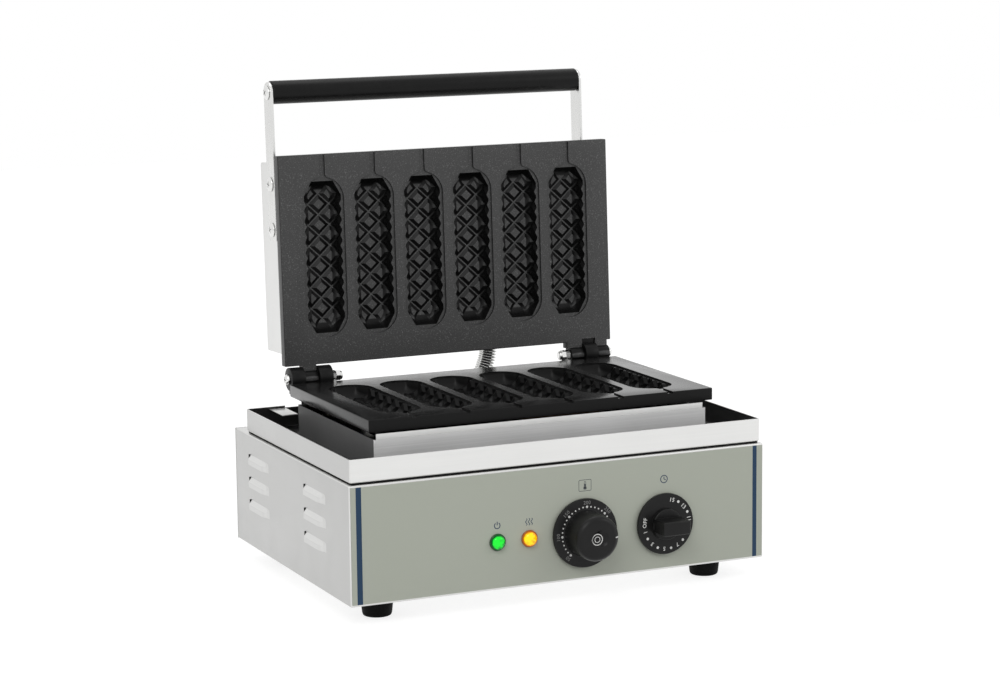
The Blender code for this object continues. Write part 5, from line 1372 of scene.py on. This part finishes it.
def make_hinge_fastenings():
    stack = NUT_T + LOCK_T + 3 * FIT
    bolt = screw_data(HINGE_HEAD_R, HINGE_HEAD_T, BOLT_R, KNUCKLE_OUT - KNUCKLE_IN + stack + FIT, 2.8 * MM)
    plain = nut_data(NUT_T, 0.0)
    lock = nut_data(LOCK_T, LOCK_COLLAR)
    bolts, nuts = [], []
    for side in (-1, 1):
        bolts.append(moved(bolt, aim((side * (KNUCKLE_OUT + FIT), 0, 0), (side, 0, 0))))
        nuts.append(moved(plain, aim((side * (KNUCKLE_IN - FIT), 0, 0), (-side, 0, 0))))
        nuts.append(moved(lock, aim((side * (KNUCKLE_IN - NUT_T - 2 * FIT), 0, 0), (-side, 0, 0))
                          @ Matrix.Rotation(0.35, 4, 'Z')))
    for name, shapes, nodes in (
            ("hinge_bolts", bolts, ["hinge_bolt_left", "hinge_bolt_right"]),
            ("hinge_nuts", nuts, ["hinge_nut_left", "hinge_nut_right",
                                  "hinge_lock_nut_left", "hinge_lock_nut_right"])):
        piece(name, moved(joined(shapes), CLOSED_BED), BRIGHT, "base", nodes, 30)


FOOT_TOP_R = 15.7 * MM
FOOT_BASE_R = 13.5 * MM
FOOT_STUD = 6.0 * MM
WASHER_R = 9.0 * MM
WASHER_T = 1.4 * MM
WASHER_EDGE = 0.3 * MM


def make_feet():
    top = BASE_Z - FIT
    slope = (FOOT_TOP_R - FOOT_BASE_R) / top
    base = arc((FOOT_BASE_R - 2 * MM, 2 * MM), 2 * MM, -6, -84, 6)
    shape = [(0, top - 1.2 * MM), (FOOT_TOP_R - 1.1 * MM, top - 1.2 * MM), (FOOT_TOP_R - 0.2 * MM, top - 1.7 * MM)]
    for z in (3.6, 3.2, 2.8):
        dent = 0.25 * MM if z == 3.2 else 0.0
        shape.append((FOOT_BASE_R + slope * z * MM - dent, z * MM))
    shape += base + [(FOOT_BASE_R - 3.5 * MM, 0), (0, 0)]
    rubber = turned_data(shape, 64)
    tip = top + 2 * SHEET + 2 * FIT + FOOT_STUD
    rim = WASHER_R + WASHER_EDGE
    stud = turned_data([(0, tip), (SCREW_R, tip), (SCREW_R, top), (WASHER_R, top), (rim, top - WASHER_EDGE),
                        (rim, top - WASHER_T + WASHER_EDGE), (WASHER_R, top - WASHER_T), (0, top - WASHER_T)], 40)
    spots = [at(x, y, 0) for x, y, _ in foot_spots()]
    piece("feet", joined([moved(rubber, spot) for spot in spots]), RUBBER, "base",
          ["foot_front_left", "foot_front_right", "foot_rear_left", "foot_rear_right"])
    piece("foot_washers", joined([moved(stud, spot) for spot in spots]), BRIGHT, "base")


# Lamps and printing on the panel

BEZEL_R = 8.0 * MM
BEZEL_T = 1.5 * MM
BEZEL_EDGE = 0.7 * MM
LENS_R = 6.6 * MM
LENS_H = 4.5 * MM
LAMP_L = 26.0 * MM
INK_T = 0.06 * MM


def make_lamps():
    dish = BEZEL_T - 0.5 * MM
    profile = [(0, dish), (LENS_R - 0.5 * MM, dish), (LENS_R + 0.1 * MM, BEZEL_T)]
    profile += arc((BEZEL_R - BEZEL_EDGE, BEZEL_T - BEZEL_EDGE), BEZEL_EDGE, 80, 0, 5)
    bezel = turned_data(profile + [(BEZEL_R, 0), (LAMP_BODY_R, 0), (LAMP_BODY_R, -LAMP_L), (0, -LAMP_L)], 64)
    base = BEZEL_T + FIT
    dome = [(0, base + LENS_H)]
    for i in range(1, 13):
        angle = math.pi / 2 * i / 12
        dome.append((LENS_R * math.sin(angle), base + LENS_H * (0.2 + 0.8 * math.cos(angle))))
    dome += [(LENS_R, base - 0.2 * MM), (0, base - 0.2 * MM)]
    lens = turned_data(dome, 64)
    for name, x, glass, ring, slot in (
            ("power_lamp", POWER_LAMP_X, GREEN, GREEN_RIM, "green_lens"),
            ("heat_lamp", HEAT_LAMP_X, AMBER, AMBER_RIM, "amber_lens")):
        seat = panel_frame(x) @ at(0, 0, FIT)
        piece(name + "_bezel", moved(bezel, seat), ring, "base", [name + "_body"])
        piece(name + "_dome", moved(lens, seat), glass, "base", [name + "_lens"])


def ribbon_data(points, width, closed=False, thickness=INK_T):
    """A flat printed line of even width through the points, lying on z = 0."""
    count = len(points)
    sides = []
    for i, (x, y) in enumerate(points):
        before = points[i - 1] if i or closed else points[i]
        after = points[(i + 1) % count] if i + 1 < count or closed else points[i]
        way = Vector((after[0] - before[0], after[1] - before[1])).normalized() * width / 2
        sides.append(((x - way.y, y + way.x), (x + way.y, y - way.x)))

    def build(work):
        rings = [[work.verts.new((*spot, z)) for spot, z in ((a, -thickness), (b, -thickness), (b, thickness),
                                                             (a, thickness))] for a, b in sides]
        ends = rings[1:] + rings[:1] if closed else rings[1:]
        for low, high in zip(rings, ends):
            for k in range(4):
                work.faces.new((low[k], low[(k + 1) % 4], high[(k + 1) % 4], high[k]))
        if not closed:
            work.faces.new(rings[0])
            work.faces.new(rings[-1])
    return clean_normals(mesh_of(build))


def text_data(words, height, center, turn_deg=0.0, bold=0.0):
    """Printed characters of that height, about a point, lying on z = 0."""
    curve = bpy.data.curves.new("text", 'FONT')
    curve.body = words
    curve.size = height / 0.7
    curve.align_x = 'CENTER'
    curve.space_character = 1.08
    curve.extrude = INK_T
    curve.resolution_u = 4
    curve.offset = height * bold
    data = clean_normals(settled(temporary(curve)))
    data.transform(at(0, -height / 2, 0))
    data.transform(at(*center, 0) @ Matrix.Rotation(math.radians(turn_deg), 4, 'Z'))
    return data


def round_spot(radius, angle_deg):
    angle = math.radians(angle_deg)
    return radius * math.cos(angle), radius * math.sin(angle)


def make_dot_tree():
    """Printed dots along an arc, every so many of them larger."""
    tree, given, out = open_tree(
        "dial_dots", "GeometryNodeTree",
        [("Count", "Int", 23), ("Radius", "Float", 24.7 * MM), ("Start", "Float", 0.0), ("Step", "Float", 0.1632),
         ("Every", "Int", 5), ("Dot", "Float", 0.75 * MM), ("Large Dot", "Float", 1.15 * MM),
         ("Coat", "Material", None)],
        [("Geometry", "Geometry")])
    line = node(tree, "GeometryNodeMeshLine", {"Count": given["Count"]})
    index = node(tree, "GeometryNodeInputIndex")
    angle = given["Start"] + given["Step"] * index
    place = vector_of(tree, angle.cos() * given["Radius"], angle.sin() * given["Radius"], 0.0)
    spots = node(tree, "GeometryNodeSetPosition", {"Geometry": line, "Position": place})
    turn = index.math("MODULO", given["Every"])
    size = given["Dot"] + (given["Large Dot"] - given["Dot"]) * turn.below(0.5)
    disc = node(tree, "GeometryNodeMeshCylinder", {"Vertices": 20, "Radius": 1.0, "Depth": 2 * INK_T})
    return dressed(tree, spots, disc, given["Coat"], out, Scale=vector_of(tree, size, size, 1.0))


DOT_TREE = make_dot_tree()
NUMBER_STEP = 46.3
NUMBER_START = 43.2
NUMBER_H = 3.3 * MM
NUMBER_R = 29.2 * MM
DOT_RING_R = 25.2 * MM
PRINT_SHIFT = at(1.2 * MM, -0.4 * MM, 0)
BADGE_R = 5.5 * MM
BADGE_EDGE = 0.3 * MM
BADGE_H = 3.2 * MM
BADGE_X = -2.0 * MM
BADGE_RINGS = ((5.1 * MM, 0.8 * MM), (2.6 * MM, 0.6 * MM))


def dot_sizes(count, radius, start_deg, step_deg, every, **more):
    return {"Count": count, "Radius": radius, "Start": math.radians(start_deg), "Step": math.radians(step_deg),
            "Every": every, "Coat": PALE_INK, **more}


def make_thermostat_print():
    lift = at(0, 0, SHOULDER) @ PRINT_SHIFT
    dots = grown(DOT_TREE, dot_sizes(23, DOT_RING_R, NUMBER_START - 2 * NUMBER_STEP / 5, NUMBER_STEP / 5, 50))
    large = grown(DOT_TREE, dot_sizes(5, DOT_RING_R, NUMBER_START, NUMBER_STEP, 1))
    frame_x = panel_frame(THERMOSTAT.x)
    dots = joined([dots, moved(large, at(0, 0, INK_T))])
    piece("thermostat_dots", moved(dots, frame_x @ lift), PALE_INK, "thermostat_dial")
    numbers = []
    for i, words in enumerate(("250", "200", "150", "100", "50")):
        angle = NUMBER_START + i * NUMBER_STEP
        numbers.append(text_data(words, NUMBER_H, round_spot(NUMBER_R, angle), angle - 90))
    piece("thermostat_numbers", moved(joined(numbers), frame_x @ lift), NUMBER_INK, "thermostat_dial")

    line = arc((THERMOSTAT_TIP_R - THERMOSTAT_ROUND, THERMOSTAT_TIP - THERMOSTAT_ROUND),
               THERMOSTAT_ROUND, 78, 2, 10)
    line.append((THERMOSTAT_TIP_R + 0.02 * MM, THERMOSTAT_TIP - 8.5 * MM))
    mark = ribbon_data(line, 0.16 * MM, False, 0.6 * MM)
    mark.transform(Matrix(((1, 0, 0, 0), (0, 0, -1, 0), (0, 1, 0, 0), (0, 0, 0, 1))))
    piece("thermostat_mark", moved(mark, frame_x), PALE_INK, "thermostat_dial")

    top = THERMOSTAT_TIP + 0.1 * MM
    badge_frame = frame_x @ at(BADGE_X, 0, 0)
    disc = turned_data([(0, top)] + arc((BADGE_R, top - BADGE_EDGE), BADGE_EDGE, 90, 0, 4)
                       + [(BADGE_R + BADGE_EDGE, top - BADGE_H), (0, top - BADGE_H)], 64)
    piece("thermostat_badge", moved(disc, badge_frame), PLASTIC, "thermostat_dial")
    rings = [ribbon_data([round_spot(radius, i * 7.5) for i in range(48)], width, True)
             for radius, width in BADGE_RINGS]
    rings = moved(joined(rings), badge_frame @ at(0, 0, top))
    piece("thermostat_badge_rings", rings, PALE_INK, "thermostat_dial")


TIMER_WORDS = (("15", 77), ("13", 42), ("11", 7.5), ("9", -27), ("7", -62), ("5", -97), ("3", -131.5), ("1", -166),
               ("OFF", 172))
TIMER_NUMBER_H = 3.7 * MM
TIMER_NUMBER_R = 23.5 * MM
TIMER_DOTS_R = 23.6 * MM
TIMER_DOT = 1.3 * MM


def make_timer_print():
    words = [text_data(text, TIMER_NUMBER_H, round_spot(TIMER_NUMBER_R, angle), angle - 90, 0.018)
             for text, angle in TIMER_WORDS]
    same = {"Dot": TIMER_DOT, "Large Dot": TIMER_DOT}
    dots = grown(DOT_TREE, dot_sizes(7, TIMER_DOTS_R, 59.5, -34.8, 1, **same))
    place = panel_frame(TIMER.x) @ at(0, 0, SHOULDER) @ PRINT_SHIFT
    piece("timer_numbers", moved(joined(words + [dots]), place), WHITE_INK, "timer_dial")


# Signs on the panel: where they stand, in millimetres, and their strokes
POWER_SIGN = (-67.1, 60.4)
HEAT_SIGN = (-35.1, 60.6)
CLOCK_SIGN = (104.4, 86.8)
THERMOMETER_SIGN = (22.2, 89.0)
STROKE = 0.85 * MM
WAVE_STROKE = 0.65 * MM
FRAME_STROKE = 0.45 * MM
TUBE_STROKE = 0.4 * MM
COLUMN_STROKE = 1.0 * MM


def drawn(points, spot, width=STROKE, closed=False):
    shape = ribbon_data([(u * MM, v * MM) for u, v in points], width, closed)
    return moved(shape, at(spot[0] * MM, spot[1] * MM, 0))


def make_panel_print():
    low = panel_frame(0) @ at(0, BASE_Z - CONTROL_Z, 0)
    signs = [drawn(arc((0, 0), 2.8, 125, 415, 40), POWER_SIGN), drawn([(0, 0.4), (0, 3.7)], POWER_SIGN)]
    for shift in (-2.7, 0, 2.7):
        wave = [(shift + 0.75 * math.sin(i * math.pi / 6), -3.1 + i * 6.4 / 18) for i in range(19)]
        signs.append(drawn(wave, HEAT_SIGN, WAVE_STROKE))
    signs.append(drawn(arc((0, 0), 3.5, 0, 352.5, 47), CLOCK_SIGN, closed=True))
    signs.append(drawn([(0, 2.3), (0, 0), (1.9, -1.0)], CLOCK_SIGN))
    piece("panel_signs", moved(joined(signs), low), BLUE_INK, "base")

    corners = []
    for i, (x, z) in enumerate(((5.2, 4.1), (-5.2, 4.1), (-5.2, -4.1), (5.2, -4.1))):
        corners += arc((x, z), 1.1, 90 * i, 90 * i + 90, 4)
    tube = arc((0, 3.0), 0.75, 0, 180, 8) + arc((0, -2.4), 1.5, 122, 418, 20)
    bulb = outline_data([(u * MM, v * MM) for u, v in arc((0, 0), 1.15, 0, 345, 23)], 2 * INK_T)
    signs = [drawn(corners, THERMOMETER_SIGN, FRAME_STROKE, True),
             drawn(tube, THERMOMETER_SIGN, TUBE_STROKE, True),
             moved(bulb, at(THERMOMETER_SIGN[0] * MM, (THERMOMETER_SIGN[1] - 2.4) * MM, 0)),
             drawn([(0, -2.4), (0, 1.4)], THERMOMETER_SIGN, COLUMN_STROKE)]
    piece("panel_thermometer", moved(joined(signs), low), GREY_INK, "base")


# Gland and spring conduit

SPRING_R = 9.1 * MM
WIRE_R = 0.85 * MM
SPRING_PITCH = 2.55 * MM
LEAD_R = 5.0 * MM
LEAD_TAIL = 8.5 * MM
CUP_WALL = 1.8 * MM
CUP_H = 6.0 * MM
CUP_THREAD = 8.0 * MM
CUP_EDGE = 0.4 * MM
SLACK_SHARE = 0.42
LID_SEAT = OPEN_LID @ Vector(CONDUIT_LID)
GLAND = (60 * MM - HALF_W, REAR_Y + SHEET + 2 * FIT, BASE_Z + 35 * MM)
GLAND_R = 11.0 * MM
GLAND_BORE_R = 4.5 * MM
GLAND_THREAD_R = 7.8 * MM
GLAND_OUT = 16.0 * MM
GLAND_IN = 10.0 * MM
GLAND_NOSE = 2.2 * MM
TO_PANEL = Matrix.Rotation(-math.pi / 2, 4, 'X')


def conduit_route(count):
    """A smooth curve between the two sockets, straight and square where it lies in them."""
    away = OPEN_LID.to_3x3() @ TO_REAR
    start = CONDUIT_BASE + UP * CUP_H
    end = LID_SEAT + away * CUP_H
    pull = (end - start).length * SLACK_SHARE
    knots = [start, start + UP * pull, end + away * pull, end]
    route = [CONDUIT_BASE]
    for i in range(count):
        t = i / (count - 1)
        weights = ((1 - t) ** 3, 3 * t * (1 - t) ** 2, 3 * t ** 2 * (1 - t), t ** 3)
        route.append(sum((knot * weight for knot, weight in zip(knots, weights)), Vector((0, 0, 0))))
    return route + [LID_SEAT]


def walk(route, distance):
    for a, b in zip(route, route[1:]):
        step = (b - a).length
        if distance <= step:
            return a.lerp(b, distance / step), (b - a).normalized()
        distance -= step
    last = (route[-1] - route[-2]).normalized()
    return route[-1] + last * distance, last


def thread_profile(radius, depth, half_pitch, count):
    return [(radius - (depth if i % 2 else 0), -i * half_pitch) for i in range(1, count + 1)]


def make_conduit():
    route = conduit_route(60)
    length = sum((b - a).length for a, b in zip(route, route[1:]))
    first = CUP_WALL + FIT + 2 * WIRE_R
    span = length - 2 * first
    curls = int(span / SPRING_PITCH)
    points = []
    for i in range(curls * 24 + 1):
        spot, way = walk(route, first + span * i / (curls * 24))
        side = way.cross(TO_REAR).normalized()
        other = side.cross(way)
        angle = 2 * math.pi * i / 24
        points.append(spot + (side * math.cos(angle) + other * math.sin(angle)) * (SPRING_R - WIRE_R))
    coil = piece("conduit_coil", curve_data(points, WIRE_R, 3), BRIGHT, None,
                 ["conduit_spring"], 60)
    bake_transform(coil)
    tail = (route[-1] - route[-2]).normalized() * LEAD_TAIL
    line = [route[0] - UP * LEAD_TAIL] + route + [route[-1] + tail]
    sleeve = piece("conduit_sleeve", curve_data(line, LEAD_R, 8), SLEEVE, None,
                   ["conduit_lead"], 60)
    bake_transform(sleeve)

    cup = SPRING_R + 2 * FIT + WIRE_R / 2
    rim = cup + CUP_WALL
    thread = LEAD_R + FIT + CUP_WALL
    profile = [(cup, CUP_H - 0.3 * MM), (cup + 0.3 * MM, CUP_H), (rim - CUP_EDGE, CUP_H), (rim, CUP_H - CUP_EDGE),
               (rim, FIT + CUP_EDGE), (rim - CUP_EDGE, FIT), (thread, FIT)]
    profile += thread_profile(thread, 0.35 * MM, 0.5 * MM, 16)
    profile += [(LEAD_R + FIT, -CUP_THREAD), (LEAD_R + FIT, CUP_WALL), (cup, CUP_WALL), (cup, CUP_H - 0.3 * MM)]
    socket = turned_data(profile, 64)
    for body, seat in (("base", at(*CONDUIT_BASE)), ("lid", OPEN_LID @ at(*CONDUIT_LID) @ TO_PANEL)):
        piece("socket_" + body, moved(socket, seat), BRIGHT, body, ["conduit_socket_" + body])


def make_gland():
    neck = GLAND_R * 0.9
    profile = [(GLAND_BORE_R, GLAND_OUT)]
    profile += arc((GLAND_BORE_R + 2.6 * MM, GLAND_OUT - GLAND_NOSE), GLAND_NOSE, 100, 20, 6)
    profile += [(neck, 6.2 * MM), (neck, 5 * MM), (GLAND_R, 4.6 * MM), (GLAND_R, 0.4 * MM), (GLAND_R - 0.4 * MM, 0),
                (GLAND_THREAD_R, 0)]
    profile += thread_profile(GLAND_THREAD_R, 0.4 * MM, 0.6 * MM, 15)
    profile += [(GLAND_THREAD_R, -GLAND_IN), (GLAND_BORE_R, -GLAND_IN), (GLAND_BORE_R, GLAND_OUT)]
    body = turned_data(profile, 64)
    ribs = [moved(box_data((9.2 * MM, -0.5 * MM, 6.2 * MM), (10.2 * MM, 0.5 * MM, 11.5 * MM)),
                  Matrix.Rotation(math.pi * i / 6, 4, 'Z')) for i in range(12)]
    shape = joined([body] + ribs)
    piece("gland", moved(shape, at(*GLAND) @ TO_PANEL), PLASTIC, "base", ["cable_gland"])


make_screws()
make_hinge_fastenings()
make_feet()
make_lamps()
make_thermostat_print()
make_timer_print()
make_panel_print()
make_conduit()
make_gland()


# Stage, lights and camera

FLOOR_HALF = 4
FLOOR_T = 10 * MM
FLOOR_TONE = 0.32
FLOOR_GLOW = 0.78
ROOM_LIGHT = 0.75
LIGHT_AIM = Vector((0, 0, 0.2))
SOFT_BOXES = (
    ("key", (-1.6, -2.2, 2.4), (1.6, 1.2), 26.0),
    ("fill", (2.4, -1.8, 1.6), (1.4, 1.4), 8.0),
    ("top", (0.2, 0.6, 2.8), (1.8, 1.4), 10.0),
)


def make_floor():
    floor = linked("floor", box_data((-FLOOR_HALF, -FLOOR_HALF, -FLOOR_T), (FLOOR_HALF, FLOOR_HALF, 0)))
    made, tree, shader = open_material("floor_paper", Specular_IOR_Level=0.1, Roughness=0.9,
                                       Base_Color=(*grey(FLOOR_TONE), 1.0))
    glow = tree.nodes.new("ShaderNodeEmission")
    feed(tree, seen_rays(tree, "Camera", "Glossy") * FLOOR_GLOW, glow.inputs["Strength"])
    both = tree.nodes.new("ShaderNodeAddShader")
    tree.links.new(shader.outputs[0], both.inputs[0])
    tree.links.new(glow.outputs[0], both.inputs[1])
    tree.links.new(both.outputs[0], tree.nodes["Material Output"].inputs[0])
    floor.data.materials.append(made)


def make_lights():
    world = bpy.data.worlds.new("studio")
    world.use_nodes = True
    bpy.context.scene.world = world
    tree = world.node_tree
    back = tree.nodes["Background"]
    seen = seen_rays(tree, "Camera", "Glossy", "Transmission")
    back.inputs["Color"].default_value = (1.0, 1.0, 1.0, 1.0)
    feed(tree, seen * (1.0 - ROOM_LIGHT) + ROOM_LIGHT, back.inputs["Strength"])
    for name, spot, size, power in SOFT_BOXES:
        lamp = bpy.data.lights.new(name, 'AREA')
        lamp.shape = 'RECTANGLE'
        lamp.size, lamp.size_y = size
        lamp.energy = power
        made = linked(name, lamp)
        made.location = spot
        made.rotation_euler = (LIGHT_AIM - Vector(spot)).to_track_quat('-Z', 'Y').to_euler()


def make_camera():
    data = bpy.data.cameras.new("camera")
    data.lens = CAMERA_LENS
    data.sensor_width = 36.0
    made = linked("camera", data)
    made.location = CAMERA_SPOT
    made.rotation_euler = Euler([math.radians(angle) for angle in CAMERA_TURN_DEG], 'XYZ')
    bpy.context.scene.camera = made


make_floor()
make_lights()
make_camera()
bpy.context.scene.view_settings.view_transform = 'Standard'
